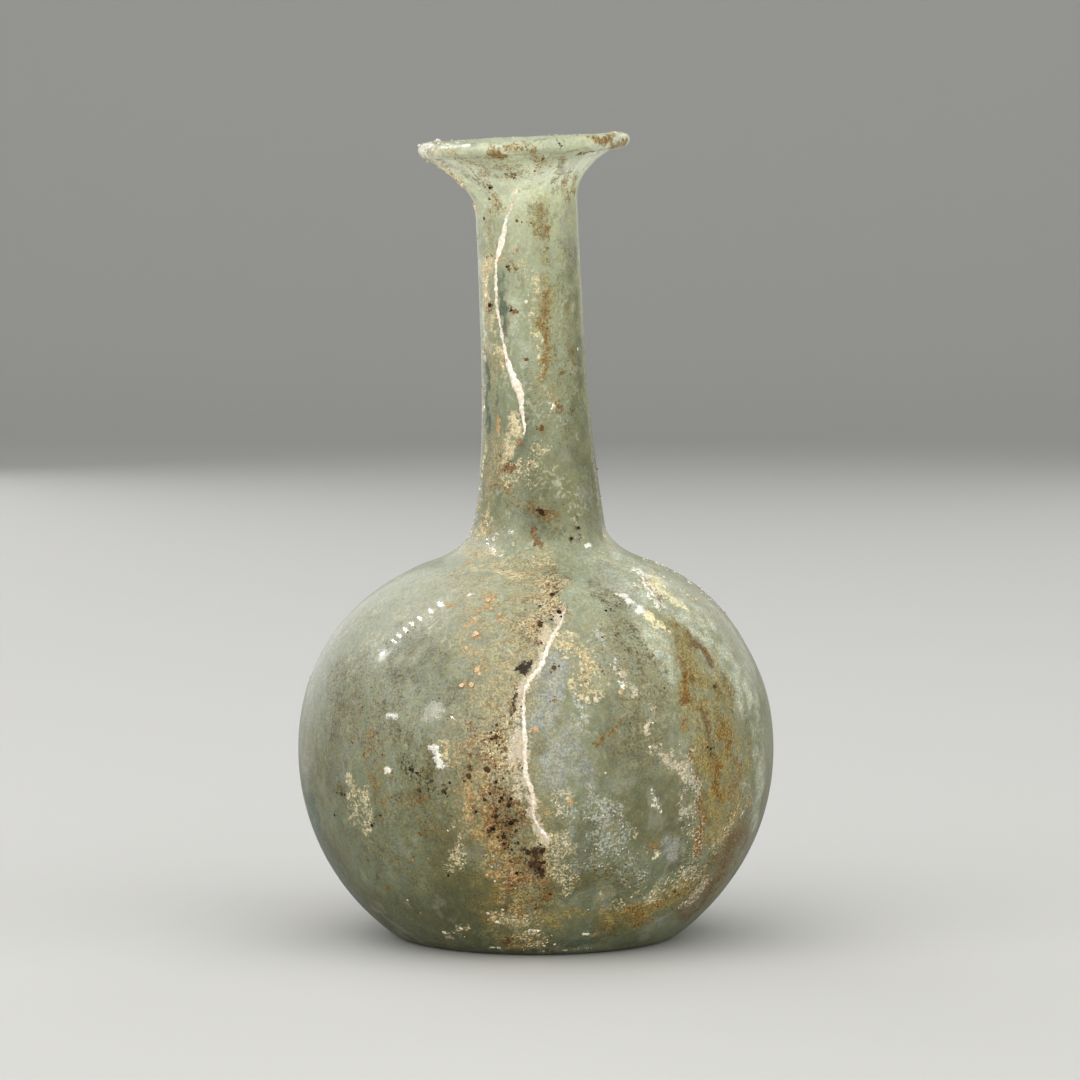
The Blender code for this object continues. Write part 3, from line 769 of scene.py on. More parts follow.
# Spots at named pixels: piece, spots, finish, growth and seed
SPOT_PIECES = (
    ("dark_iron_spots", DARK_SPOTS, "iron_spot", 1.0, 3),
    ("brown_rust_spots", BROWN_SPOTS, "rust_spot", 1.0, 5),
    ("pale_flecks_and_glints", PALE_SPOTS_AND_GLINTS, "limy_grain", 1.0, 7),
    ("peach_flecks", PEACH_SPOTS, "peach_crust", PEACH_GROWTH, 19),
)
# Dust beside the spots: piece, spots, finish, seed of its places and seed of its shapes
DUST_PIECES = (
    ("dark_iron_dust", DARK_SPOTS, "iron_spot", 3, 31),
    ("brown_rust_dust", BROWN_SPOTS, "rust_spot", 5, 37),
    ("peach_fleck_dust", PEACH_SPOTS, "peach_crust", 19, 43),
)
# Lumps along lines: piece, runs, finish and seed
LUMP_PIECES = (
    ("pale_lumps", PALE_RUNS, "limy_grain", 29),
    ("white_lumps", WHITE_RUNS, "white_crust", 23),
)
# Scattered grains: piece, finish, most to a square metre, least and greatest size, and seed
GRAIN_PIECES = (
    ("limy_crumbs", "limy_grain", 2.2e6, 0.15 * MM, 0.60 * MM, 9),
    ("pale_grains", "limy_grain", 0.9e6, 0.07 * MM, 0.26 * MM, 11),
    ("rust_grains", "rust_spot", 0.4e6, 0.08 * MM, 0.24 * MM, 13),
    ("iron_grains", "iron_spot", 1.3e6, 0.08 * MM, 0.36 * MM, 17),
)
# Which marks the scattered grains lie with, and their share on bare glass
PALE_GRAIN_KINDS = ("cream", "white", "pink", "yellow", "grey")
RUST_GRAIN_SHARES = {"rust": 0.8, "olive": 0.5, "orange": 1.0}
BARE_SHARE = 0.002

# Floor and backdrop in metres, and the room's own light
SWEEP_HALF_WIDTH = 4.0
SWEEP_FRONT = 1.6
SWEEP_BACK = 1.6
SWEEP_CURVE = 1.0
SWEEP_CURVE_STEPS = 24
SWEEP_HEIGHT = 4.0
FLOOR_COLOUR = (200, 199, 196)
ROOM_COLOUR = (236, 238, 240)
ROOM_STRENGTH = 0.34

# Soft lights that shine on the flask's middle: name, place, width, height, power and colour,
# and those whose mirror image doesn't show
FLASK_MIDDLE = (0.0, 0.0, 0.07)
SOFT_LIGHTS = (
    ("key_upper_left", (-0.90, -0.90, 1.05), 2.0, 2.0, 16.5, (1.0, 1.0, 0.97)),
    ("fill_upper_right", (1.05, -0.80, 0.80), 2.0, 2.0, 14.5, (1.0, 1.0, 0.96)),
    ("fill_front_low", (0.05, -0.90, 0.03), 1.0, 0.06, 3.4, (1.0, 1.0, 0.97)),
    ("behind_left", (-0.62, 1.00, 0.45), 0.9, 1.0, 4.0, (0.97, 0.97, 1.0)),
    ("behind_right", (0.60, 1.10, 0.48), 0.5, 0.8, 1.5, (0.98, 0.99, 1.0)),
    ("top", (0.0, 0.05, 1.05), 1.2, 1.2, 5.0, (1.0, 1.0, 0.98)),
)
UNMIRRORED = ("fill_front_low",)

# A narrow beam from low in front that lights the flare's underside: place, aim, width, height
# and power
FLARE_BEAM = ((-0.14, -0.34, 0.03), (-0.006, 0.0, 0.154), 0.05, 0.05, 0.0046)
FLARE_BEAM_SPREAD = math.radians(22)


def smooth(share):
    """Ease from nought to one, flat at both ends."""
    share = np.clip(share, 0.0, 1.0)
    return share * share * (3.0 - 2.0 * share)


def from_screen(red, green, blue):
    """A colour given as it shows on a screen, 0 to 255, as the linear colour that shaders take."""
    values = np.array((red, green, blue)) / 255.0
    low = values / 12.92
    high = ((values + 0.055) / 1.055) ** 2.4
    return tuple(float(value) for value in np.where(values <= 0.04045, low, high)) + (1.0,)


def rounded_corner(start, corner, end):
    """Points on the curve that leaves start for the corner and bends away to end."""
    share = np.linspace(0.0, 1.0, CURVE_SAMPLES // 8)[:, None]
    start, corner, end = np.array(start), np.array(corner), np.array(end)
    first = start + (corner - start) * share
    second = corner + (end - corner) * share
    return first + (second - first) * share


def bowl_depth(wall):
    """Half height of the ellipse that the lower body follows, set in by a wall."""
    return WIDEST_HEIGHT / math.sqrt(1.0 - (FOOT_RADIUS / BODY_RADIUS) ** 2) - wall


def body_radius(height, wall=0.0):
    """Radius of the round body at a height, set in by the thickness of the wall."""
    rise = np.asarray(height) - WIDEST_HEIGHT
    down = np.clip(-rise / bowl_depth(wall), 0.0, 1.0)
    up = np.clip(rise / (DOME_HEIGHT - wall), 0.0, 1.0)
    below = np.sqrt(1.0 - down ** 2)
    above = (1.0 - up ** DOME_FULLNESS) ** (1.0 / DOME_FULLNESS)
    return (BODY_RADIUS - wall) * np.where(rise < 0.0, below, above)


def dome_height_at(radius, wall=0.0):
    """Height at which the body's dome has narrowed to a radius."""
    share = 1.0 - (radius / (BODY_RADIUS - wall)) ** DOME_FULLNESS
    return WIDEST_HEIGHT + (DOME_HEIGHT - wall) * share ** (1.0 / DOME_FULLNESS)


def neck_radius(height):
    """Outside of the neck, which draws in from its foot to the flare below the lip."""
    left = (FLARE_FOOT - np.asarray(height)) / (FLARE_FOOT - NECK_FOOT_HEIGHT)
    return NECK_RADIUS + (NECK_FOOT_RADIUS - NECK_RADIUS) * np.maximum(0.0, left) ** NECK_TAPER


def body_curve(bottom, top, wall):
    """The body's wall between two heights, close points evenly spread round its curve."""
    lowest = math.asin(max(-1.0, (bottom - WIDEST_HEIGHT) / bowl_depth(wall)))
    highest = math.asin(min(1.0, (top - WIDEST_HEIGHT) / (DOME_HEIGHT - wall)))
    turns = np.linspace(lowest, highest, CURVE_SAMPLES)
    reach = np.where(turns < 0.0, bowl_depth(wall), DOME_HEIGHT - wall)
    heights = WIDEST_HEIGHT + reach * np.sin(turns)
    return np.column_stack((body_radius(heights, wall), heights))


def kick_curve(lift):
    """The hollow's curve from the middle of the underside out to the foot ring."""
    share = np.linspace(0.0, 1.0, CURVE_SAMPLES // 4)
    return np.column_stack((RING_INSIDE * share, lift + KICK_HEIGHT * (1.0 - smooth(share))))


def underside_curve():
    """Hollow, flat foot ring and rounded edge, from the middle outwards."""
    wall_start = (float(body_radius(FOOT_ROUNDING)), FOOT_ROUNDING)
    corner = rounded_corner((RING_OUTSIDE, 0.0), (FOOT_RADIUS, 0.0), wall_start)
    return np.vstack((kick_curve(0.0), corner))


def outside_curve():
    """Body, neck and flare, from the foot up to the underside of the lip."""
    corner = (NECK_FOOT_RADIUS, dome_height_at(NECK_FOOT_RADIUS))
    fillet_top = NECK_FOOT_HEIGHT + NECK_FILLET_RISE
    body = body_curve(FOOT_ROUNDING, corner[1] - NECK_FILLET_DROP, 0.0)
    fillet = rounded_corner(body[-1], corner, (float(neck_radius(fillet_top)), fillet_top))
    neck_heights = np.linspace(fillet_top, FLARE_FOOT, CURVE_SAMPLES)
    flare_heights = np.linspace(FLARE_FOOT, FLARE_TOP, CURVE_SAMPLES // 2)
    share = (flare_heights - FLARE_FOOT) / FLARE_HEIGHT
    flare = NECK_RADIUS + (LIP_RADIUS - LIP_OVERHANG - NECK_RADIUS) * share ** FLARE_CURVE
    neck = np.column_stack((neck_radius(neck_heights), neck_heights))
    return np.vstack((body, fillet[1:], neck[1:], np.column_stack((flare, flare_heights))[1:]))


def lip_curve():
    """The thick edge of the lip, from its underside round to the top of the mouth."""
    middle = (LIP_RADIUS, LIP_TOP - LIP_THICKNESS / 2.0)
    under = rounded_corner((LIP_RADIUS - LIP_OVERHANG, FLARE_TOP), (LIP_RADIUS, FLARE_TOP), middle)
    over = rounded_corner(middle, (LIP_RADIUS, LIP_TOP), (LIP_RADIUS - MOUTH_SETBACK, LIP_TOP))
    return np.vstack((under, over[1:]))


def inside_curve():
    """Mouth, bore, inside of the body and floor, from the lip down to the floor's middle."""
    bore_foot = NECK_FOOT_RADIUS - NECK_WALL
    corner = (bore_foot, dome_height_at(bore_foot, BODY_WALL))
    fillet_top = NECK_FOOT_HEIGHT + NECK_FILLET_RISE
    mouth_heights = np.linspace(LIP_TOP, FLARE_FOOT, CURVE_SAMPLES // 2)
    share = (mouth_heights - FLARE_FOOT) / (LIP_TOP - FLARE_FOOT)
    mouth = BORE_RADIUS + (LIP_RADIUS - MOUTH_SETBACK - BORE_RADIUS) * share ** MOUTH_CURVE
    neck_heights = np.linspace(FLARE_FOOT, fillet_top, CURVE_SAMPLES)
    neck = np.column_stack((neck_radius(neck_heights) - NECK_WALL, neck_heights))
    wall_foot = FLOOR_THICKNESS + FLOOR_ROUNDING
    body = body_curve(wall_foot, corner[1] - NECK_FILLET_DROP, BODY_WALL)[::-1]
    fillet = rounded_corner(neck[-1], corner, body[0])
    floor_corner = (float(body_radius(FLOOR_THICKNESS, BODY_WALL)), FLOOR_THICKNESS)
    rounding = rounded_corner(body[-1], floor_corner, (RING_INSIDE, FLOOR_THICKNESS))
    floor = kick_curve(FLOOR_THICKNESS)[::-1]
    mouth_part = np.column_stack((mouth, mouth_heights))
    return np.vstack((mouth_part, neck[1:], fillet[1:], body[1:], rounding[1:], floor[1:]))


def spaced_along(curve, gap):
    """The curve again, with points a gap apart along it."""
    steps = np.hypot(*np.diff(curve, axis=0).T)
    along = np.concatenate(([0.0], np.cumsum(steps)))
    places = np.linspace(0.0, along[-1], int(math.ceil(along[-1] / gap)) + 1)
    return np.column_stack([np.interp(places, along, side) for side in curve.T])


def facing(curve):
    """Unit vectors that stand off the curve to its right, as radius and height."""
    ahead = np.gradient(curve, axis=0)
    ahead /= np.linalg.norm(ahead, axis=1)[:, None]
    return np.column_stack((ahead[:, 1], -ahead[:, 0]))


def bent(points):
    """Lean the neck and dip the lip of points on a flask that was turned true."""
    x, y, height = points.T
    above = np.maximum(0.0, height - NECK_FOOT_HEIGHT)
    share = np.minimum(1.0, above / LEAN_EASE)
    eased = LEAN_EASE * share ** 3 * (1.0 - share / 2.0) + np.maximum(0.0, above - LEAN_EASE)
    set_off = NECK_SET_OFF * smooth(1.0 + (height - NECK_FOOT_HEIGHT) / SET_OFF_EASE)
    slope = math.tan(NECK_LEAN)
    up = np.maximum(0.0, (height - FLARE_FOOT) / (LIP_TOP - FLARE_FOOT))
    towards = 0.5 + 0.5 * np.cos(np.arctan2(y, x) - LIP_DIP_BEARING)
    dip = LIP_DIP * up ** 2 * towards ** 2
    return np.column_stack((x + set_off + slope * eased, y, height - dip - slope * smooth(share) * x))


def swell(points):
    """How far the blown wall stands off its true form at each point."""
    rise = np.zeros(len(points))
    for size, depth in SWELLS:
        rise += depth * np.array([noise.noise(Vector(point) / size) for point in points])
    lip = np.flatnonzero(points[:, 2] > FLARE_TOP - FLARE_HEIGHT / 4.0)
    rough = np.array([noise.noise(Vector(point) / LIP_SWELL_SIZE) for point in points[lip]])
    rise[lip] += LIP_SWELL * rough
    bearing = np.degrees(np.arctan2(points[:, 1], points[:, 0]))
    for middle, height, reach, tall, most in FULL_PLACES:
        aside = np.abs((bearing - middle + 180.0) % 360.0 - 180.0)
        share = smooth(1.0 - aside / reach) * smooth(1.0 - np.abs(points[:, 2] - height) / tall)
        rise += most * share
    return rise


def without_lip_step(points):
    """The outside's points again, moved out to one smooth curve from the flare to the lip."""
    radius = np.hypot(points[:, 0], points[:, 1])
    height = points[:, 2]
    up = np.clip((height - FLARE_FOOT) / (SMOOTH_LIP_TOP - FLARE_FOOT), 0.0, 1.0)
    full = NECK_RADIUS + (LIP_RADIUS - NECK_RADIUS) * up ** SMOOTH_LIP_CURVE
    bearing = np.degrees(np.arctan2(points[:, 1], points[:, 0]))
    aside = np.abs((bearing - SMOOTH_LIP_BEARING + 180.0) % 360.0 - 180.0)
    share = smooth((SMOOTH_LIP_REACH - aside) / (SMOOTH_LIP_REACH - SMOOTH_LIP_FULL))
    share = np.where((height > FLARE_FOOT) & (height < SMOOTH_LIP_TOP), share, 0.0)
    wider = 1.0 + share * np.maximum(0.0, full / np.maximum(radius, MM) - 1.0)
    return points * np.column_stack((wider, wider, np.ones(len(points))))


def turned(curve, bearings, swollen=1.0):
    """Rows of points where the curve is turned to each bearing, and the way they face."""
    off = facing(curve)
    cosines, sines = np.cos(bearings), np.sin(bearings)
    shape = (len(curve), len(bearings))
    points = np.empty(shape + (3,))
    normals = np.empty(shape + (3,))
    for target, source in ((points, curve), (normals, off)):
        target[..., 0] = source[:, :1] * cosines
        target[..., 1] = source[:, :1] * sines
        target[..., 2] = np.repeat(source[:, 1:], len(bearings), axis=1)
    points, normals = points.reshape(-1, 3), normals.reshape(-1, 3)
    share = np.broadcast_to(np.atleast_1d(swollen)[:, None], shape).ravel() * np.ones(len(points))
    moving = share > 0.0
    rise = np.zeros(len(points))
    rise[moving] = swell(points[moving]) * share[moving]
    points[moving] = without_lip_step(points[moving])
    return points + normals * rise[:, None], normals


def bearings_round(front_step, back_step):
    """Bearings round the flask, closer together where it faces the camera."""
    front = 2.0 * FRONT_HALF
    front_count = int(math.ceil(front / front_step))
    back_count = int(math.ceil((math.tau - front) / back_step))
    near = FRONT_BEARING - FRONT_HALF + front * np.arange(front_count) / front_count
    far = FRONT_BEARING + FRONT_HALF + (math.tau - front) * np.arange(back_count) / back_count
    return np.concatenate((near, far))


def in_scene(name, data):
    """A new object of that name in the scene."""
    made = bpy.data.objects.new(name, data)
    bpy.context.scene.collection.objects.link(made)
    return made


def store(mesh, name, values, kind="FLOAT", field="value"):
    """Keep a value for each of a mesh's points, for its material or its tree to read."""
    values = np.asarray(values, np.float32).ravel()
    mesh.attributes.new(name, kind, "POINT").data.foreach_set(field, values)


def add_camera():
    """The photograph's camera: a metre away, level with the lip and looking a little down."""
    data = bpy.data.cameras.new("photo_camera")
    data.sensor_width = SENSOR_WIDTH
    data.lens = FOCAL_PIXELS * SENSOR_WIDTH / PHOTO_SIZE
    camera = in_scene("photo_camera", data)
    camera.location = CAMERA_PLACE
    camera.rotation_euler = (math.radians(90) - CAMERA_PITCH, 0.0, 0.0)
    bpy.context.scene.camera = camera


def line_of_sight(pixel):
    """The way that the camera looks through a pixel of the photograph."""
    across = (pixel[0] - PHOTO_SIZE / 2.0) / FOCAL_PIXELS
    up = (PHOTO_SIZE / 2.0 - pixel[1]) / FOCAL_PIXELS
    turn = Matrix.Rotation(math.radians(90) - CAMERA_PITCH, 3, "X")
    return (turn @ Vector((across, up, -1.0))).normalized()


def wall_as_target(piece):
    """The wall's faces, ready to be met by a line of sight."""
    mesh = piece.data
    return BVHTree.FromPolygons(
        [vertex.co for vertex in mesh.vertices],
        [tuple(face.vertices) for face in mesh.polygons],
    )


def on_glass(target, pixel):
    """Where a pixel's line of sight meets the wall, or its edge where it passes just beside."""
    sight = line_of_sight(pixel)
    place, _, _, _ = target.ray_cast(CAMERA_PLACE, sight)
    if place is not None:
        return place
    along = -CAMERA_PLACE.xy.dot(sight.xy) / sight.xy.length_squared
    place, _, _, _ = target.find_nearest(CAMERA_PLACE + sight * along, PAST_THE_EDGE)
    return place


def path_on_glass(target, pixels, step=PATH_STEP):
    """Points on the wall under a path of pixels, with any further values carried along."""
    pixels = np.array(pixels, float)
    if len(pixels) == 1:
        found = on_glass(target, pixels[0])
        return np.empty((0, 3)) if found is None else np.array([[*found, *pixels[0, 2:]]])
    lengths = np.hypot(*np.diff(pixels[:, :2], axis=0).T)
    along = np.concatenate(([0.0], np.cumsum(lengths)))
    places = np.linspace(0.0, along[-1], int(math.ceil(along[-1] / step)) + 1)
    walk = np.column_stack([np.interp(places, along, side) for side in pixels.T])
    rows = []
    for row in walk:
        found = on_glass(target, row)
        if found is not None:
            rows.append((*found, *row[2:]))
    return np.array(rows)


def nearest_distance(points, path):
    """Distance from each point to the nearest point of a path."""
    closest = np.full(len(points), np.inf)
    for place in path:
        closest = np.minimum(closest, np.sum((points - place) ** 2, axis=1))
    return np.sqrt(closest)


def mark_strengths(points, marks):
    """How strongly each kind of crust, stain and painted light and shade lies on each point, with wandering
    edges.
    """
    strengths = {kind: np.zeros(len(points)) for kind in (*CRUSTS, *STAINS_AND_PAINTED_LIGHT, "crumb")}
    wide = np.array([noise.noise_vector(Vector(point) / WANDER_WIDE_SIZE) for point in points])
    fine = np.array([noise.noise_vector(Vector(point) / WANDER_FINE_SIZE) for point in points])
    patchy = np.array([noise.noise(Vector(point) / PATCH_SIZE) for point in points])
    patchy = np.clip(PATCH_MIDDLE + PATCH_CONTRAST * patchy, PATCH_LEAST, PATCH_MOST)
    for kind, half_width, strength, path in marks:
        reach = half_width * MARK_REACH
        low, high = path.min(axis=0) - reach, path.max(axis=0) + reach
        near = np.flatnonzero(np.all((points >= low) & (points <= high), axis=1))
        if not len(near):
            continue
        shifted = points[near] + wide[near] * min(half_width * WANDER_SHARE, WANDER_WIDE_MOST)
        shifted += fine[near] * min(half_width * WANDER_SHARE, WANDER_FINE_MOST)
        share = nearest_distance(shifted, path) / half_width
        amount = strength * (1.0 - smooth((share - MARK_FULL) / MARK_FADE)) * patchy[near]
        strengths[kind][near] = np.maximum(strengths[kind][near], amount)
    return strengths


def marks_on_glass(target):
    """The named marks, each as its kind, half width, strength and path on the wall."""
    rows = [(kind, *mark) for kind, marks in MARKS.items() for mark in marks]
    rows += [("orange", width * HALO_SIZE, PEACH_HALO, (x, y)) for x, y, width in PEACH_SPOTS]
    for x, y, width in DARK_SPOTS:
        kind = "rust" if HALO_RUSTY_FROM < x < HALO_RUSTY_TO else "olive"
        rows.append((kind, width * HALO_SIZE, HALO_STRENGTH, (x, y)))
    beside = [(x - RIDGE_LAYER_SHIFT, y) for x, y, _ in BODY_RIDGE]
    rows.append(("pink", RIDGE_LAYER_WIDTH, RIDGE_LAYER_STRENGTH, *beside))
    found = []
    for kind, width, strength, *pixels in rows:
        path = path_on_glass(target, pixels)
        if len(path):
            found.append((kind, width * PIXEL_ON_GLASS / 2.0, strength, path[:, :3]))
    return found


def mark_away_from_camera(target):
    """Marks of the same kinds on the hidden side, fewer and plainer, from fixed chance."""
    chance = np.random.default_rng(BACK_SEED)
    found = []
    for kind, count, width, strength, run in BACK_MARKS:
        for _ in range(count):
            bearing = math.radians(90) + chance.uniform(-1.0, 1.0) * BACK_HALF
            height = chance.uniform(*BACK_HEIGHTS)
            rise = chance.uniform(-1.0, 1.0) * run
            drift = chance.uniform(-1.0, 1.0) * BACK_DRIFT
            steps = np.linspace(0.0, 1.0, BACK_POINTS)
            wander = chance.normal(0.0, BACK_WANDER, BACK_POINTS)
            path = []
            for share, aside in zip(steps, wander):
                turn = bearing + drift * share + aside
                level = height + rise * share
                out = Vector((math.cos(turn), math.sin(turn), 0.0))
                place, _, _, _ = target.ray_cast(out * FAR_OFF + Vector((0, 0, level)), -out)
                if place is not None:
                    path.append(place)
            if path:
                size = width * chance.uniform(*BACK_SIZES)
                found.append((kind, size / 2.0, strength, np.array(path)))
    return found


def chance_field(points, size, turn):
    """Cloudy chance at each point, spread evenly from nought to one, unlike at other turns."""
    away = Vector([turn * side for side in CHANCE_SHIFT])
    values = np.array([noise.fractal(Vector(point) / size + away, *CHANCE_NOISE) for point in points])
    order = np.empty(len(values))
    order[np.argsort(values, kind="stable")] = np.arange(len(values))
    return order / max(1, len(values) - 1)


def without_corner_touches(kept):
    """The kept cells, with those filled in that would leave two cells joined by a corner."""
    for _ in range(FILLING_ROUNDS):
        down = np.vstack((kept[1:], np.zeros((1, kept.shape[1]), bool)))
        right = np.roll(kept, -1, axis=1)
        across = np.roll(down, -1, axis=1)
        first = kept & across & ~down & ~right
        second = down & right & ~kept & ~across
        kept = kept | second
        fill = np.vstack((np.zeros((1, kept.shape[1]), bool), first[:-1]))
        kept = kept | fill
    return kept


def closed_sheet(name, top, bottom, kept, columns, tints, amounts, material):
    """A thin closed crust over the kept cells of a grid that runs round the flask."""
    rows, places = np.nonzero(kept)
    beside = (places + 1) % columns
    quads = np.column_stack((
        rows * columns + places,
        rows * columns + beside,
        (rows + 1) * columns + beside,
        (rows + 1) * columns + places,
    ))
    used = np.unique(quads)
    place_of = np.full(len(top), -1)
    place_of[used] = np.arange(len(used))
    upper = place_of[quads]
    lower = upper[:, ::-1] + len(used)
    starts = upper.ravel()
    ends = np.roll(upper, -1, axis=1).ravel()
    coded = starts.astype(np.int64) * len(used) + ends
    turned_back = ends.astype(np.int64) * len(used) + starts
    edge = ~np.isin(turned_back, coded)
    starts, ends = starts[edge], ends[edge]
    sides = np.column_stack((ends, starts, starts + len(used), ends + len(used)))
    mesh = bpy.data.meshes.new(name)
    mesh.from_pydata(np.vstack((top[used], bottom[used])), [], np.vstack((upper, lower, sides)).tolist())
    colours = np.ones((2 * len(used), 4), np.float32)
    colours[:, :3] = np.vstack((tints[used], tints[used]))
    store(mesh, "tint", colours, "FLOAT_COLOR", "color")
    for kind, amount in amounts.items():
        store(mesh, kind, np.tile(amount[used], 2))
    mesh.shade_smooth()
    mesh.materials.append(material)
    return in_scene(name, mesh)


def crust_over(curve, widest, marks, material, names):
    """The crust on one stretch of the flask, as a closed sheet for each named side."""
    bearings = bearings_round(CRUST_GAP / widest, CRUST_BACK_GAP / widest)
    points, normals = turned(curve, bearings, smooth((curve[:, 1] - FOOT_ROUNDING) / SWELL_EASE))
    strengths = mark_strengths(bent(points), marks)
    strengths.pop("crumb")
    thickness = np.zeros(len(points))
    weights = np.zeros(len(points))
    tints = np.zeros((len(points), 3))
    cover = np.zeros(len(points))
    for turn, (kind, (colour, height, grain)) in enumerate(CRUSTS.items(), 1):
        near = np.flatnonzero(strengths[kind] > CRUST_FAINTEST)
        if not len(near):
            continue
        field = chance_field(points[near], grain, turn)
        share = smooth((strengths[kind][near] - field) / CRUST_EDGE)
        thickness[near] = np.maximum(thickness[near], share * height)
        cover[near] = np.maximum(cover[near], share)
        weights[near] += share
        tints[near] += share[:, None] * np.array(from_screen(*colour)[:3])
    crusted = np.flatnonzero(weights > 0.0)
    tints[crusted] /= weights[crusted, None]
    rough = chance_field(points[crusted], CRUST_ROUGH_SIZE, CRUST_ROUGH_TURN)
    thickness[crusted] *= CRUST_LOWEST + (2.0 - 2.0 * CRUST_LOWEST) * rough
    shading = chance_field(points[crusted], CRUST_SHADE_SIZE, CRUST_SHADE_TURN)
    tints[crusted] *= (CRUST_DARKEST + (1.0 - CRUST_DARKEST) * shading)[:, None]
    standing = thickness > CRUST_THINNEST
    lift = np.where(standing, thickness, -CRUST_SINK)
    top = bent(points + normals * lift[:, None])
    bottom = bent(points - normals * CRUST_FLOOR)
    shape = (len(curve), len(bearings))
    up = standing.reshape(shape)
    beside = np.roll(up, -1, axis=1)
    cells = up[:-1] | up[1:] | beside[:-1] | beside[1:]
    spread_tints(tints.reshape(shape + (3,)), up)
    amounts = {**strengths, "cover": cover}
    across = points.reshape(shape + (3,))[:-1, :, 0]
    pieces = []
    for name, side in names:
        kept = without_corner_touches(cells & (across * side >= 0.0 if side else True))
        pieces.append(closed_sheet(name, top, bottom, kept, len(bearings), tints, amounts, material))
    return pieces


def spread_tints(tints, standing):
    """Give each point at a crust's edge the colour of a crusted point beside it."""
    for axis in (0, 1):
        for way in (1, -1):
            source = np.roll(tints, way, axis=axis)
            known = np.roll(standing, way, axis=axis) & ~standing
            tints[known] = source[known]


def glass_wall(outer_finish, inner_finish):
    """The whole wall, turned finely round its outline, and which of its points are outside."""
    stretches = (
        (underside_curve(), UNDERSIDE_GAP, 0.0),
        (outside_curve(), OUTSIDE_GAP, 1.0),
        (lip_curve(), LIP_GAP, 1.0),
        (inside_curve(), INSIDE_GAP, 0.0),
    )
    curves, shares = [], []
    for curve, gap, share in stretches:
        part = spaced_along(curve, gap)
        eased = smooth((part[:, 1] - FOOT_ROUNDING) / SWELL_EASE) * share
        start = 1 if curves else 0
        curves.append(part[start:])
        shares.append(eased[start:])
    curve, swollen = np.vstack(curves), np.concatenate(shares)
    front = 2.0 * FRONT_HALF
    bearings = bearings_round(front / FRONT_COLUMNS, (math.tau - front) / BACK_COLUMNS)
    columns = len(bearings)
    points, _ = turned(curve[1:-1], bearings, swollen[1:-1])
    poles = np.array(((0.0, 0.0, curve[0, 1]), (0.0, 0.0, curve[-1, 1])))
    vertices = bent(np.vstack((points, poles)))
    rows = len(curve) - 2
    first_pole, last_pole = rows * columns, rows * columns + 1
    faces = []
    for column in range(columns):
        beside = (column + 1) % columns
        faces.append((first_pole, beside, column))
        for row in range(rows - 1):
            base, above = row * columns, (row + 1) * columns
            faces.append((base + column, base + beside, above + beside, above + column))
        top = (rows - 1) * columns
        faces.append((top + column, top + beside, last_pole))
    mesh = bpy.data.meshes.new("flask_glass")
    mesh.from_pydata(vertices, [], faces)
    mesh.shade_smooth()
    mesh.materials.append(outer_finish)
    mesh.materials.append(inner_finish)
    lip_end = sum(len(part) for part in curves[:-1]) - 1
    inner = np.tile(np.arange(-1, rows) >= lip_end, columns)
    mesh.polygons.foreach_set("material_index", inner.astype(np.int32))
    outside = np.append(np.repeat(swollen[1:-1] > 0.0, columns), (False, False))
    return in_scene("flask_glass", mesh), outside


def mark_glass(glass, outside, marks):
    """Store every mark's strength on the wall's outside, and give the strengths back."""
    vertices = np.array([vertex.co for vertex in glass.data.vertices])
    strengths = mark_strengths(vertices, marks)
    for amount in strengths.values():
        amount[~outside] = 0.0
    for kind in (*CRUSTS, *STAINS_AND_PAINTED_LIGHT):
        store(glass.data, kind, strengths[kind])
    return strengths


def new_node(tree, kind, inputs=(), **settings):
    """Add a node, set what it is told and connect or fill its inputs."""
    made = tree.nodes.new(kind)
    for name, value in settings.items():
        setattr(made, name, value)
    for name, value in dict(inputs).items():
        join(tree, value, made.inputs[name])
    return made


def join(tree, value, socket):
    """Lead another node's output, or put a plain value, into a socket."""
    if isinstance(value, bpy.types.NodeSocket):
        tree.links.new(value, socket)
    else:
        socket.default_value = value


def sums(tree, operation, first, second=0.0):
    """The result of simple arithmetic on two values."""
    made = new_node(tree, "ShaderNodeMath", {0: first, 1: second}, operation=operation)
    return made.outputs[0]


def times(tree, first, *others):
    """Values multiplied together, in their order."""
    for value in others:
        first = sums(tree, "MULTIPLY", first, value)
    return first


def eased_band(tree, value, low, high):
    """Nought below low, one above high, and a soft slope between them."""
    inputs = {"Value": value, "From Min": low, "From Max": high}
    made = new_node(tree, "ShaderNodeMapRange", inputs, interpolation_type="SMOOTHSTEP")
    return made.outputs["Result"]


def blended(tree, share, first, second, blend="MIX"):
    """One colour laid over another by a share."""
    made = new_node(tree, "ShaderNodeMix", data_type="RGBA", blend_type=blend)
    for number, value in ((0, share), (6, first), (7, second)):
        join(tree, value, made.inputs[number])
    return made.outputs[2]


def washed(tree, colour, cloud, wash):
    """A colour with a wash laid over it where the cloud is in the wash's band."""
    low, high, most, tone = wash
    return blended(tree, times(tree, eased_band(tree, cloud, low, high), most), colour, from_screen(*tone))


def shaded(tree, share, colour, value, shading):
    """A colour made darker and lighter by a value, as far as its shading says."""
    names = ("From Min", "From Max", "To Min", "To Max")
    made = new_node(tree, "ShaderNodeMapRange", {"Value": value, **dict(zip(names, shading))})
    return blended(tree, share, colour, made.outputs["Result"], "MULTIPLY")


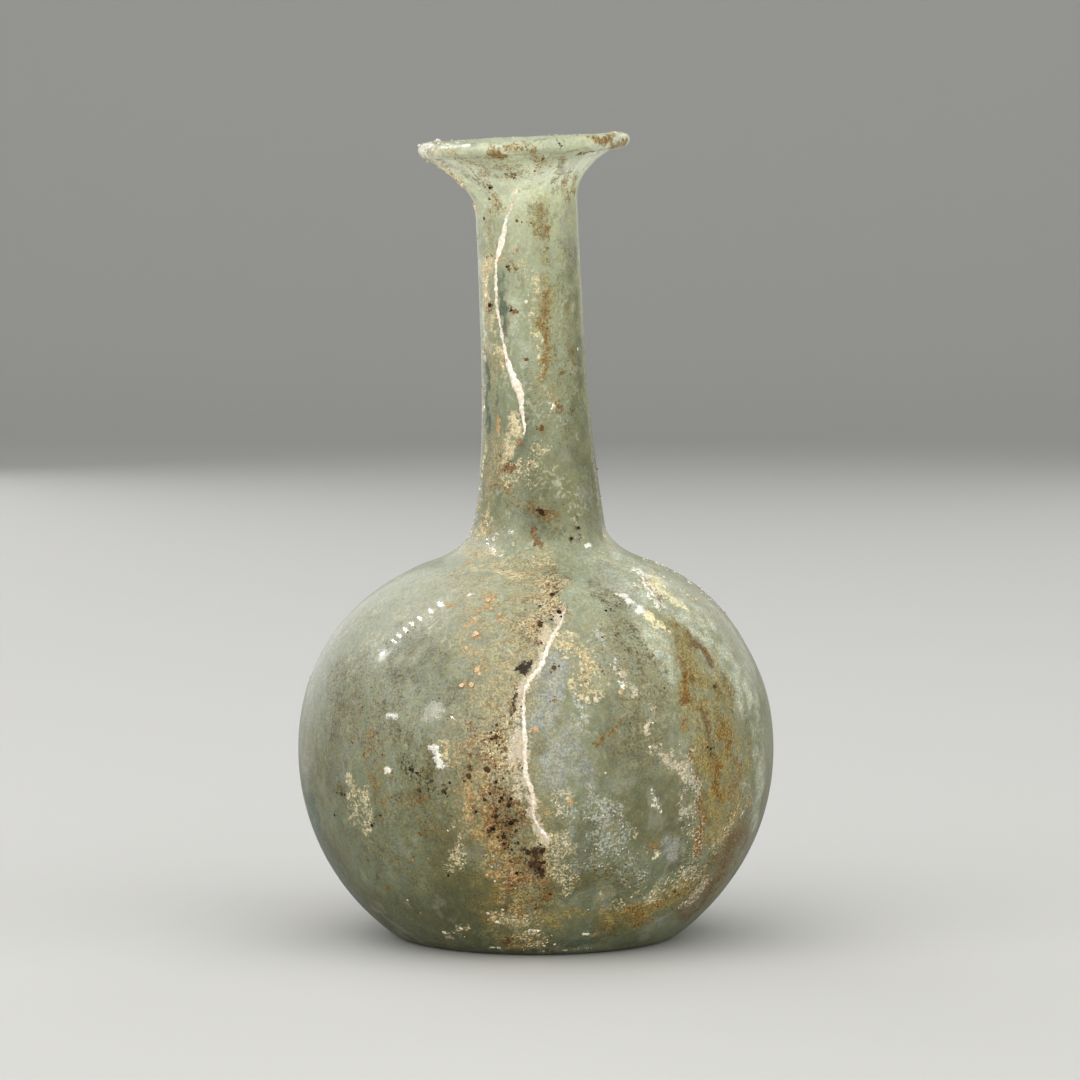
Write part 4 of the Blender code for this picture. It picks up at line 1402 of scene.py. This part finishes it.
def pattern(tree, size, detail, roughness, away, stretch=1.0):
    """Cloudy noise whose clouds are about the given size, drawn out upwards if stretched."""
    place = new_node(tree, "ShaderNodeTexCoord").outputs["Object"]
    moved = new_node(tree, "ShaderNodeMapping", {
        "Vector": place, "Location": (away, -away, away), "Scale": (1.0, 1.0, stretch),
    })
    cloud = new_node(tree, "ShaderNodeTexNoise", {
        "Vector": moved.outputs["Vector"],
        "Scale": 1.0 / size,
        "Detail": detail,
        "Roughness": roughness,
    })
    return cloud.outputs["Fac"]


def level_on_flask(tree):
    """How far up the flask a place is, from nought at the floor to one at the lip."""
    place = new_node(tree, "ShaderNodeTexCoord").outputs["Object"]
    height = new_node(tree, "ShaderNodeSeparateXYZ", {"Vector": place}).outputs["Z"]
    return sums(tree, "DIVIDE", height, LIP_TOP)


def from_middle(tree, value, most):
    """How far a noise is above or below its middle, times the most."""
    return times(tree, sums(tree, "SUBTRACT", value, 0.5), most)


def amount_of(tree, name):
    """A value stored on the mesh, such as a mark's strength."""
    return new_node(tree, "ShaderNodeAttribute", attribute_name=name).outputs["Fac"]


def colour_steps(tree, value, steps):
    """Colours that follow a value, by steps of value and screen colour."""
    made = new_node(tree, "ShaderNodeValToRGB", {"Fac": value})
    ramp = made.color_ramp
    while len(ramp.elements) < len(steps):
        ramp.elements.new(0.5)
    for element, (place, colour) in zip(ramp.elements, steps):
        element.position = place
        element.color = from_screen(*colour)
    return made.outputs["Color"]


def fresh_material(name):
    """A material with one plain shader, ready for its own nodes."""
    material = bpy.data.materials.new(name)
    material.use_nodes = True
    return material, material.node_tree, material.node_tree.nodes["Principled BSDF"]


def curls(tree, cloud):
    """Fine curling lines where a cloud passes its middle: one on a line, nought beside it."""
    aside = sums(tree, "ABSOLUTE", sums(tree, "SUBTRACT", cloud, 0.5))
    return eased_band(tree, aside, *THREAD_BAND)


def torn_share(tree, amount, lace):
    """How much a film's lace covers: holes close as its amount grows."""
    begun = eased_band(tree, amount, *LACE_BEGIN_BAND)
    reach = sums(tree, "ADD", times(tree, amount, LACE_GAIN), from_middle(tree, lace, LACE_CONTRAST))
    return times(tree, begun, eased_band(tree, reach, *LACE_BAND))


def weathered_colour_and_painted_light(tree):
    """The flask's colour at a place, with the painted light and shade of its colour by height and of some
    of its marks, how far crust hides the glass there and its relief, with the cloud and the level that the
    rest of a finish follows."""
    level = level_on_flask(tree)
    broad = pattern(tree, *BROAD_PATTERN)
    cloud = pattern(tree, *CLOUD_PATTERN)
    mottle = pattern(tree, *MOTTLE_PATTERN)
    fine = pattern(tree, *FINE_PATTERN)
    laces = [pattern(tree, *lace) for lace in LACE_PATTERNS]
    threads = times(tree, curls(tree, laces[0]), THREAD_SHARE)
    warmth = eased_band(tree, laces[1], *TONE_BAND)
    laces += [sums(tree, "SUBTRACT", 1.0, lace) for lace in laces]
    laces.append(pattern(tree, *ROUND_LACE_PATTERN))
    grains = {name: pattern(tree, *grain) for name, grain in GRAIN_PATTERNS.items()}
    amounts = {kind: amount_of(tree, kind) for kind in (*CRUSTS, *STAINS_AND_PAINTED_LIGHT)}
    wandering = sums(tree, "ADD", level, from_middle(tree, broad, HEIGHT_WANDER))
    # The colour by height holds painted shade towards the foot and painted light on the flare's underside
    colour = colour_steps(tree, wandering, GLASS_AND_PAINTED_LIGHT_BY_HEIGHT)
    for noise_value, wash in ((broad, GREEN_WASH), (cloud, PALE_WASH), (cloud, OLIVE_WASH)):
        colour = washed(tree, colour, noise_value, wash)
    olive = times(tree, eased_band(tree, cloud, *OLIVE_CLOUD_BAND), MOTTLE_SHARE)
    curled = sums(tree, "MAXIMUM", threads, eased_band(tree, mottle, *OLIVE_MOTTLE_BAND))
    colour = blended(tree, times(tree, olive, curled), colour, from_screen(*OLIVE_MOTTLE))
    chalk = times(
        tree, eased_band(tree, cloud, *CHALK_CLOUD_BAND), MOTTLE_SHARE,
        eased_band(tree, grains["coarse pale"], *CHALK_GRAIN_BAND),
        eased_band(tree, level, *CHALK_HEIGHT_BAND),
    )
    colour = blended(tree, chalk, colour, from_screen(*CHALK_MOTTLE))
    tone = eased_band(tree, fine, *TONE_BAND)
    hidden = 0.0
    for kind, veil, most, dark, light, lace in FILMS:
        torn = times(tree, torn_share(tree, amounts[kind], laces[lace]), most)
        even = times(tree, eased_band(tree, amounts[kind], *VEIL_BAND), veil)
        film = blended(tree, tone, from_screen(*dark), from_screen(*light))
        colour = blended(tree, sums(tree, "ADD", torn, even), colour, film)
        if kind in CRUSTS:
            hidden = sums(tree, "MAXIMUM", hidden, torn)
    for kind, speck, grain, spread, most in SPECKS:
        raised = sums(tree, "ADD", grains[grain], times(tree, amounts[kind], spread))
        share = eased_band(tree, raised, SPECK_EDGE, SPECK_EDGE + SPECK_SOFTNESS)
        share = times(tree, share, eased_band(tree, amounts[kind], *SPECK_BEGIN_BAND), most)
        colour = blended(tree, share, colour, from_screen(*speck))
        hidden = sums(tree, "MAXIMUM", hidden, share)
    steady = times(tree, eased_band(tree, level, *CALM_HEIGHT_BAND), CALM_SHARE)
    unsteady = sums(tree, "SUBTRACT", 1.0, steady)
    colour = shaded(tree, unsteady, colour, mottle, MOTTLE_SHADING)
    colour = shaded(tree, unsteady, colour, fine, SPECKLE_SHADING)
    turn = blended(tree, warmth, WARM_TURN, COOL_TURN)
    colour = blended(tree, unsteady, colour, turn, "MULTIPLY")
    relief = sums(tree, "ADD", grains["fine pale"], times(tree, mottle, MOTTLE_RELIEF))
    return colour, hidden, relief, cloud, level


def fill_inputs(tree, shader, inputs):
    """Connect or fill a shader's inputs."""
    for name, value in inputs.items():
        join(tree, value, shader.inputs[name])


def bumped(tree, height, bump):
    """A surface roughened by a height, to the strength and depth of a bump."""
    strength, depth = bump
    made = new_node(tree, "ShaderNodeBump", {"Height": height, "Strength": strength, "Distance": depth})
    return made.outputs["Normal"]


def weathered_glass_and_painted_light():
    """Cloudy green glass with a worn sheen under its films, specks and crust, and painted light and shade
    in its colour.
    """
    material, tree, shader = fresh_material("weathered_green_glass_and_painted_light")
    colour, hidden, relief, cloud, level = weathered_colour_and_painted_light(tree)
    rough = sums(tree, "ADD", times(tree, hidden, HIDDEN_ROUGHNESS), times(tree, cloud, CLOUD_ROUGHNESS))
    coat = times(
        tree, sums(tree, "SUBTRACT", 1.0, hidden), COAT_MOST,
        eased_band(tree, level, *COAT_FROM_HEIGHT), eased_band(tree, cloud, *COAT_CLOUD_BAND),
    )
    fill_inputs(tree, shader, {
        "Base Color": colour,
        "Roughness": sums(tree, "ADD", rough, GLASS_ROUGHNESS_LOW),
        "Coat Weight": coat,
        "Coat Roughness": COAT_ROUGHNESS,
        "Coat IOR": GLASS_IOR,
        "Normal": bumped(tree, relief, GLASS_BUMP),
        "Transmission Weight": GLASS_CLEARNESS,
        "IOR": GLASS_IOR,
        "Specular IOR Level": GLASS_SPECULAR,
    })
    return material


def inner_glass():
    """The inside of the glass: the same green, with the same painted shade towards the foot and painted
    light on the flare, cloudy with settled dust and nothing else.
    """
    material, tree, shader = fresh_material("inner_green_glass")
    cloud = pattern(tree, *INNER_PATTERN)
    colour = colour_steps(tree, level_on_flask(tree), GLASS_AND_PAINTED_LIGHT_BY_HEIGHT)
    fill_inputs(tree, shader, {
        "Base Color": washed(tree, colour, cloud, INNER_WASH),
        "Roughness": sums(tree, "ADD", cloud, INNER_ROUGHNESS),
        "Transmission Weight": GLASS_CLEARNESS,
        "IOR": GLASS_IOR,
        "Specular IOR Level": GLASS_SPECULAR,
    })
    return material


def dull(tree, shader, colour, height, bump, roughness, specular):
    """Give a shader a colour and a dull, bumpy surface."""
    fill_inputs(tree, shader, {
        "Base Color": colour,
        "Normal": bumped(tree, height, bump),
        "Roughness": roughness,
        "Specular IOR Level": specular,
    })


def mineral_crust():
    """Dull limy crust that passes into the weathered glass at its edges, granular and pitted."""
    material, tree, shader = fresh_material("mineral_crust")
    under, _, relief, cloud, _ = weathered_colour_and_painted_light(tree)
    tint = new_node(tree, "ShaderNodeAttribute", attribute_name="tint").outputs["Color"]
    grain = pattern(tree, *CRUST_PATTERN)
    crust = shaded(tree, 1.0, tint, grain, CRUST_SHADING)
    crust = washed(tree, crust, cloud, BROWN_WASH)
    ragged = from_middle(tree, grain, CRUST_RAGGEDNESS)
    cover = eased_band(tree, sums(tree, "ADD", amount_of(tree, "cover"), ragged), *CRUST_COVER_BAND)
    colour = blended(tree, times(tree, cover, CRUST_COVER_MOST), under, crust)
    dull(tree, shader, colour, sums(tree, "ADD", relief, grain), CRUST_BUMP, *CRUST_DULLNESS)
    return material


def shaded_grains(name, steps, roughness, grain_size):
    """Material of scattered grains, each in its own shade along the given colours."""
    material, tree, shader = fresh_material(name)
    colour = colour_steps(tree, amount_of(tree, "shade"), steps)
    grain = pattern(tree, grain_size, GRAIN_DETAIL, GRAIN_DETAIL_ROUGHNESS, GRAIN_START)
    colour = shaded(tree, 1.0, colour, grain, GRAIN_SHADING)
    dull(tree, shader, colour, grain, GRAIN_BUMP, roughness, GRAIN_SPECULAR)
    return material


def flaked_edge():
    """The broken edge of a flaked crust: chalky, cream to pink, rust-stained here and there."""
    material, tree, shader = fresh_material("flaked_crust_edge")
    grain = pattern(tree, *EDGE_PATTERN)
    colour = colour_steps(tree, pattern(tree, *EDGE_TINT_PATTERN), EDGE_TINTS)
    colour = washed(tree, colour, pattern(tree, *EDGE_RUST_PATTERN), EDGE_RUST_WASH)
    colour = shaded(tree, 1.0, colour, grain, EDGE_SHADING)
    dull(tree, shader, colour, grain, EDGE_BUMP, *EDGE_DULLNESS)
    return material


def growing_tree(name, inputs):
    """An empty geometry tree with its named inputs, and its two ends."""
    tree = bpy.data.node_groups.new(name, "GeometryNodeTree")
    for label, kind in (("Geometry", "Geometry"), *inputs):
        tree.interface.new_socket(name=label, in_out="INPUT", socket_type="NodeSocket" + kind)
    tree.interface.new_socket(name="Geometry", in_out="OUTPUT", socket_type="NodeSocketGeometry")
    return tree, new_node(tree, "NodeGroupInput").outputs, new_node(tree, "NodeGroupOutput")


def stored_value(tree, name, kind="FLOAT"):
    """A value that was stored under a name on the points of a tree's geometry."""
    made = new_node(tree, "GeometryNodeInputNamedAttribute", {"Name": name}, data_type=kind)
    return made.outputs["Attribute"]


def jolted(tree, geometry, lump, depth):
    """The geometry with its points pushed about by a noise of small lumps."""
    cloud = new_node(tree, "ShaderNodeTexNoise", {"Scale": 1.0 / lump, "Detail": JOLT_DETAIL})
    centred = new_node(
        tree, "ShaderNodeVectorMath", {0: cloud.outputs["Color"], 1: (0.5, 0.5, 0.5)}, operation="SUBTRACT",
    )
    offset = new_node(
        tree, "ShaderNodeVectorMath", {0: centred.outputs[0], "Scale": depth}, operation="SCALE",
    )
    moved = new_node(tree, "GeometryNodeSetPosition", {"Geometry": geometry, "Offset": offset.outputs[0]})
    return moved.outputs["Geometry"]


def finished(tree, geometry, lump, given, out):
    """The tree's end: roughened by lumps, made into real faces, smooth, in their material."""
    rough = jolted(tree, geometry, lump, given["Roughness"])
    real = new_node(tree, "GeometryNodeRealizeInstances", {"Geometry": rough}).outputs["Geometry"]
    soft = new_node(tree, "GeometryNodeSetShadeSmooth", {"Geometry": real}).outputs["Geometry"]
    done = new_node(tree, "GeometryNodeSetMaterial", {"Geometry": soft, "Material": given["Material"]})
    tree.links.new(done.outputs["Geometry"], out.inputs["Geometry"])
    return tree


def ridge_tree():
    """A rough ridge of varying width, swept along a path."""
    tree, given, out = growing_tree("ridge along a path", (
        ("Step", "Float"), ("Sides", "Int"), ("Roughness", "Float"), ("Material", "Material"),
    ))
    line = new_node(tree, "GeometryNodeMeshToCurve", {"Mesh": given["Geometry"]}).outputs["Curve"]
    steps = new_node(
        tree, "GeometryNodeResampleCurve", {"Curve": line, "Length": given["Step"]}, mode="LENGTH",
    )
    ring = new_node(tree, "GeometryNodeCurvePrimitiveCircle", {"Resolution": given["Sides"], "Radius": 1.0})
    swept = new_node(tree, "GeometryNodeCurveToMesh", {
        "Curve": steps.outputs["Curve"],
        "Profile Curve": ring.outputs["Curve"],
        "Scale": stored_value(tree, "half_width"),
        "Fill Caps": True,
    })
    return finished(tree, swept.outputs["Mesh"], RIDGE_GRAIN, given, out)


def grains_tree():
    """Small rounded grains scattered over a surface, thickest where grain_share is high."""
    tree, given, out = growing_tree("grains on a surface", (
        ("Most per square metre", "Float"), ("Smallest", "Float"), ("Largest", "Float"),
        ("Flatness", "Float"), ("Roughness", "Float"), ("Seed", "Int"), ("Material", "Material"),
    ))
    density = times(tree, stored_value(tree, "grain_share"), given["Most per square metre"])
    spread = new_node(tree, "GeometryNodeDistributePointsOnFaces", {
        "Mesh": given["Geometry"], "Density": density, "Seed": given["Seed"],
    })
    skewed = sums(tree, "POWER", chance_of(tree, given, 1), GRAIN_SKEW)
    span = sums(tree, "SUBTRACT", given["Largest"], given["Smallest"])
    radius = sums(tree, "ADD", given["Smallest"], times(tree, skewed, span))
    grains = placed_grains(tree, spread.outputs["Points"], spread.outputs["Rotation"], radius, given, 1)
    return finished(tree, grains, GRAIN_LUMP, given, out)


def chance_of(tree, given, turn):
    """A chance between nought and one for each grain, unlike that of any other turn."""
    seed = sums(tree, "ADD", given["Seed"], CHANCE_GAP * turn)
    return new_node(tree, "FunctionNodeRandomValue", {"Seed": seed}, data_type="FLOAT").outputs[1]


def placed_grains(tree, points, rotation, radius, given, fineness):
    """A grain on each point, flattened on the surface and turned about it by chance."""
    stone = new_node(tree, "GeometryNodeMeshIcoSphere", {"Radius": 1.0, "Subdivisions": fineness})
    turn = times(tree, chance_of(tree, given, 2), math.tau)
    about = new_node(tree, "FunctionNodeAxisAngleToRotation", {"Axis": (0, 0, 1), "Angle": turn})
    turned_round = new_node(
        tree, "FunctionNodeRotateRotation", {"Rotation": rotation, "Rotate By": about.outputs[0]},
        rotation_space="LOCAL",
    )
    stretch = sums(tree, "ADD", times(tree, chance_of(tree, given, 3), GRAIN_DRAWN_OUT), GRAIN_NARROWEST)
    scale = new_node(tree, "ShaderNodeCombineXYZ", {
        "X": times(tree, radius, stretch), "Y": radius, "Z": times(tree, radius, given["Flatness"]),
    })
    grains = new_node(tree, "GeometryNodeInstanceOnPoints", {
        "Points": points,
        "Instance": stone.outputs["Mesh"],
        "Rotation": turned_round.outputs[0],
        "Scale": scale.outputs[0],
    })
    shades = {"Geometry": grains.outputs["Instances"], "Name": "shade", "Value": chance_of(tree, given, 4)}
    stored = new_node(
        tree, "GeometryNodeStoreNamedAttribute", shades, data_type="FLOAT", domain="INSTANCE",
    )
    return stored.outputs["Geometry"]


def spots_tree(name, fineness):
    """One flat rounded spot on each given point, of the size stored there."""
    tree, given, out = growing_tree(name, (
        ("Flatness", "Float"), ("Roughness", "Float"), ("Seed", "Int"), ("Material", "Material"),
    ))
    points = new_node(tree, "GeometryNodeMeshToPoints", {"Mesh": given["Geometry"]}).outputs["Points"]
    ways = {"Vector": stored_value(tree, "facing", "FLOAT_VECTOR")}
    upright = new_node(tree, "FunctionNodeAlignRotationToVector", ways, axis="Z")
    size = stored_value(tree, "half_width")
    spots = placed_grains(tree, points, upright.outputs[0], size, given, fineness)
    return finished(tree, spots, GRAIN_LUMP, given, out)


def grown_piece(name, mesh, tree, settings):
    """Run a geometry tree on a mesh and keep the result as a plain mesh of that name."""
    holder = in_scene(name + "_seed", mesh)
    modifier = holder.modifiers.new("growth", "NODES")
    modifier.node_group = tree
    for item in tree.interface.items_tree:
        if item.in_out == "INPUT" and item.name in settings:
            modifier[item.identifier] = settings[item.name]
    graph = bpy.context.evaluated_depsgraph_get()
    made = bpy.data.meshes.new_from_object(holder.evaluated_get(graph), depsgraph=graph)
    made.name = name
    bpy.data.objects.remove(holder, do_unlink=True)
    return in_scene(name, made)


def outward_at(target, places):
    """The way that the wall faces at points on it."""
    return np.array([target.find_nearest(Vector(place))[1] for place in places])


def soft_outward_at(piece, place):
    """The way that the wall's smooth shading faces, from the corners nearest to a place."""
    vertices = piece.data.vertices
    corners = KDTree(len(vertices))
    for number, vertex in enumerate(vertices):
        corners.insert(vertex.co, number)
    corners.balance()
    way = Vector((0.0, 0.0, 0.0))
    for _, number, distance in corners.find_n(place, NEAREST_CORNERS):
        way += vertices[number].normal / (distance + LEAST_DISTANCE)
    return way.normalized()


def ridge(name, target, pixels, material, tree):
    """One of the long ridges of flaked crust, following its path over the glass."""
    path = path_on_glass(target, pixels, step=RIDGE_PATH_STEP)
    uneven = np.array([noise.noise(Vector(place) / RIDGE_UNEVEN_SIZE) for place in path[:, :3]])
    half = path[:, 3] * PIXEL_ON_GLASS / 2.0 * RIDGE_WIDENING * (1.0 + RIDGE_UNEVEN * uneven)
    places = path[:, :3] + outward_at(target, path[:, :3]) * (RIDGE_LIFT - half * RIDGE_SINK)[:, None]
    mesh = bpy.data.meshes.new(name)
    mesh.from_pydata(places, [(step, step + 1) for step in range(len(places) - 1)], [])
    store(mesh, "half_width", half)
    return grown_piece(name, mesh, tree, {
        "Step": RIDGE_STEP, "Sides": RIDGE_SIDES, "Roughness": RIDGE_ROUGHNESS, "Material": material,
    })


def beside_spots(pixels, seed):
    """A few much smaller spots close round each of the given ones, from fixed chance."""
    chance = np.random.default_rng(seed)
    rows = []
    for x, y, width in pixels:
        for _ in range(SATELLITES):
            turn = chance.uniform(0.0, math.tau)
            away = width * chance.uniform(*SATELLITE_REACH)
            small = width * chance.uniform(*SATELLITE_SIZES)
            rows.append((x + away * math.cos(turn), y + away * math.sin(turn), small))
    return rows


def lumps_along(runs, seed):
    """Lumps strewn along lines of pixels by fixed chance, most of them small."""
    chance = np.random.default_rng(seed)
    rows = []
    for count, least, most, stray, line in runs:
        line = np.array(line, float)
        along = np.concatenate(([0.0], np.cumsum(np.hypot(*np.diff(line, axis=0).T))))
        for place in chance.uniform(0.0, along[-1], count):
            x, y = (np.interp(place, along, side) for side in line.T)
            width = least + (most - least) * chance.uniform(0.0, 1.0) ** 2
            rows.append((x + chance.normal(0.0, stray), y + chance.normal(0.0, stray), width))
    return rows


def spots(name, target, pixels, material, tree, seed, flatness=SPOT_FLATNESS, growth=1.0):
    """Crusted spots at named pixels, each of its own size."""
    rows = []
    for x, y, width in pixels:
        place = on_glass(target, (x, y))
        if place is not None:
            rows.append((*place, width * growth))
    rows = np.array(rows)
    places = rows[:, :3]
    mesh = bpy.data.meshes.new(name)
    mesh.from_pydata(places, [], [])
    store(mesh, "half_width", rows[:, 3] * PIXEL_ON_GLASS / 2.0)
    store(mesh, "facing", outward_at(target, places), "FLOAT_VECTOR", "vector")
    settings = {"Flatness": flatness, "Roughness": SPOT_ROUGHNESS, "Seed": seed, "Material": material}
    return grown_piece(name, mesh, tree, settings)


def scattered(name, glass, outside, share, material, tree, most, smallest, largest, seed):
    """Grains scattered over the outside of the glass by a share stored on its points."""
    mesh = glass.data.copy()
    store(mesh, "grain_share", np.where(outside, np.clip(share, 0.0, 1.0), 0.0))
    return grown_piece(name, mesh, tree, {
        "Most per square metre": most,
        "Smallest": smallest,
        "Largest": largest,
        "Flatness": GRAIN_FLATNESS,
        "Roughness": GRAIN_ROUGHNESS,
        "Seed": seed,
        "Material": material,
    })


def studio_sweep():
    """A plain pale floor that curves up into a backdrop far behind the flask."""
    across = (-SWEEP_HALF_WIDTH, SWEEP_HALF_WIDTH)
    line = [(-SWEEP_FRONT, 0.0), (SWEEP_BACK, 0.0)]
    for step in range(1, SWEEP_CURVE_STEPS + 1):
        turn = math.radians(90) * step / SWEEP_CURVE_STEPS
        line.append((SWEEP_BACK + SWEEP_CURVE * math.sin(turn), SWEEP_CURVE * (1.0 - math.cos(turn))))
    line.append((SWEEP_BACK + SWEEP_CURVE, SWEEP_HEIGHT))
    vertices = [(x, y, z) for y, z in line for x in across]
    faces = [(2 * row, 2 * row + 1, 2 * row + 3, 2 * row + 2) for row in range(len(line) - 1)]
    material, tree, shader = fresh_material("pale_floor")
    fill_inputs(tree, shader, {"Base Color": from_screen(*FLOOR_COLOUR), "Roughness": FLOOR_ROUGHNESS})
    mesh = bpy.data.meshes.new("studio_sweep")
    mesh.from_pydata(vertices, [], faces)
    mesh.shade_smooth()
    mesh.materials.append(material)
    in_scene("studio_sweep", mesh)


def add_soft_light(name, place, aim, width, height, power, colour=(1.0, 1.0, 1.0)):
    """A rectangular light that shines from a place towards an aim, given back."""
    data = bpy.data.lights.new(name, "AREA")
    data.shape = "RECTANGLE"
    data.size, data.size_y = width, height
    data.energy = power
    data.color = colour
    light = in_scene(name, data)
    light.location = place
    light.rotation_euler = (Vector(aim) - Vector(place)).to_track_quat("-Z", "Y").to_euler()
    light.visible_camera = False
    return light


def add_glint_lamps(glass, target):
    """Small lamps, each set where the glass mirrors it at its own pixel, that only glint."""
    for number, (pixel, width, height, power) in enumerate(GLINTS, 1):
        place = on_glass(target, pixel)
        way = soft_outward_at(glass, place)
        sight = line_of_sight(pixel)
        mirrored = (sight - 2.0 * sight.dot(way) * way).normalized()
        lamp = place + mirrored * GLINT_DISTANCE
        light = add_soft_light(f"glint_{number}", lamp, place, width, height, power)
        upwards = (way - mirrored * way.dot(mirrored)).normalized()
        turned_so = Matrix((upwards.cross(mirrored), upwards, mirrored)).transposed()
        light.rotation_euler = turned_so.to_euler()
        light.visible_diffuse = False


def light_studio(glass, target):
    """Plain soft light from above, both sides and the front, in a pale room."""
    for name, place, width, height, power, colour in SOFT_LIGHTS:
        light = add_soft_light(name, place, FLASK_MIDDLE, width, height, power, colour)
        light.visible_glossy = name not in UNMIRRORED
    beam = add_soft_light("flare_beam", *FLARE_BEAM)
    beam.data.spread = FLARE_BEAM_SPREAD
    beam.visible_glossy = False
    add_glint_lamps(glass, target)
    world = bpy.data.worlds.new("pale_room")
    world.use_nodes = True
    background = world.node_tree.nodes["Background"]
    background.inputs["Color"].default_value = from_screen(*ROOM_COLOUR)
    background.inputs["Strength"].default_value = ROOM_STRENGTH
    bpy.context.scene.world = world


def dress_flask(glass, outside, target):
    """Weather the glass, with its painted light and shade, make every piece that stands on it, and ride and
    name them all.
    """
    marks = marks_on_glass(target) + mark_away_from_camera(target)
    strengths = mark_glass(glass, outside, marks)
    neck_foot = np.searchsorted(outside_curve()[:, 1], NECK_FOOT_HEIGHT - CRUST_SPLIT_DROP)
    body = spaced_along(outside_curve()[:neck_foot], CRUST_GAP)
    neck = spaced_along(outside_curve()[neck_foot - 1:], CRUST_GAP)
    neck = np.vstack((neck, spaced_along(lip_curve(), CRUST_GAP)[1:]))
    crust_finish = mineral_crust()
    sides = (("crust_on_body_left", -1.0), ("crust_on_body_right", 1.0))
    pieces = crust_over(body, BODY_RADIUS, marks, crust_finish, sides)
    pieces += crust_over(neck, NECK_FOOT_RADIUS, marks, crust_finish, (("crust_on_neck", 0.0),))
    edge_finish = flaked_edge()
    ridges = ridge_tree()
    for name, pixels in (("ridge_on_neck", NECK_RIDGE), ("ridge_on_body", BODY_RIDGE)):
        pieces.append(ridge(name, target, pixels, edge_finish, ridges))
    finishes = {name: shaded_grains(name, *looks) for name, looks in GRAIN_FINISHES.items()}
    spotting = spots_tree("spots on points", 2)
    dusting = spots_tree("small spots on points", 1)
    for name, pixels, finish, growth, seed in SPOT_PIECES:
        pieces.append(spots(name, target, pixels, finishes[finish], spotting, seed, growth=growth))
    for name, pixels, finish, places_seed, seed in DUST_PIECES:
        dust = beside_spots(pixels, places_seed)
        pieces.append(spots(name, target, dust, finishes[finish], dusting, seed))
    for name, runs, finish, seed in LUMP_PIECES:
        lumps = lumps_along(runs, seed)
        pieces.append(spots(name, target, lumps, finishes[finish], dusting, seed, LUMP_FLATNESS))
    pale = np.maximum.reduce([strengths[kind] for kind in PALE_GRAIN_KINDS])
    brown = np.maximum.reduce([share * strengths[kind] for kind, share in RUST_GRAIN_SHARES.items()])
    shares = {
        "limy_crumbs": strengths["crumb"],
        "pale_grains": BARE_SHARE + pale,
        "rust_grains": BARE_SHARE + brown,
        "iron_grains": strengths["umber"],
    }
    scatter = grains_tree()
    for name, finish, *settings in GRAIN_PIECES:
        finish = finishes[finish]
        pieces.append(scattered(name, glass, outside, shares[name], finish, scatter, *settings))
    for piece in (glass, *pieces):
        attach(piece, "root")
    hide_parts("glass_flask")


add_camera()
studio_sweep()
flask_glass, flask_outside = glass_wall(weathered_glass_and_painted_light(), inner_glass())
flask_target = wall_as_target(flask_glass)
light_studio(flask_glass, flask_target)
dress_flask(flask_glass, flask_outside, flask_target)
bpy.context.scene.view_settings.view_transform = "Standard"
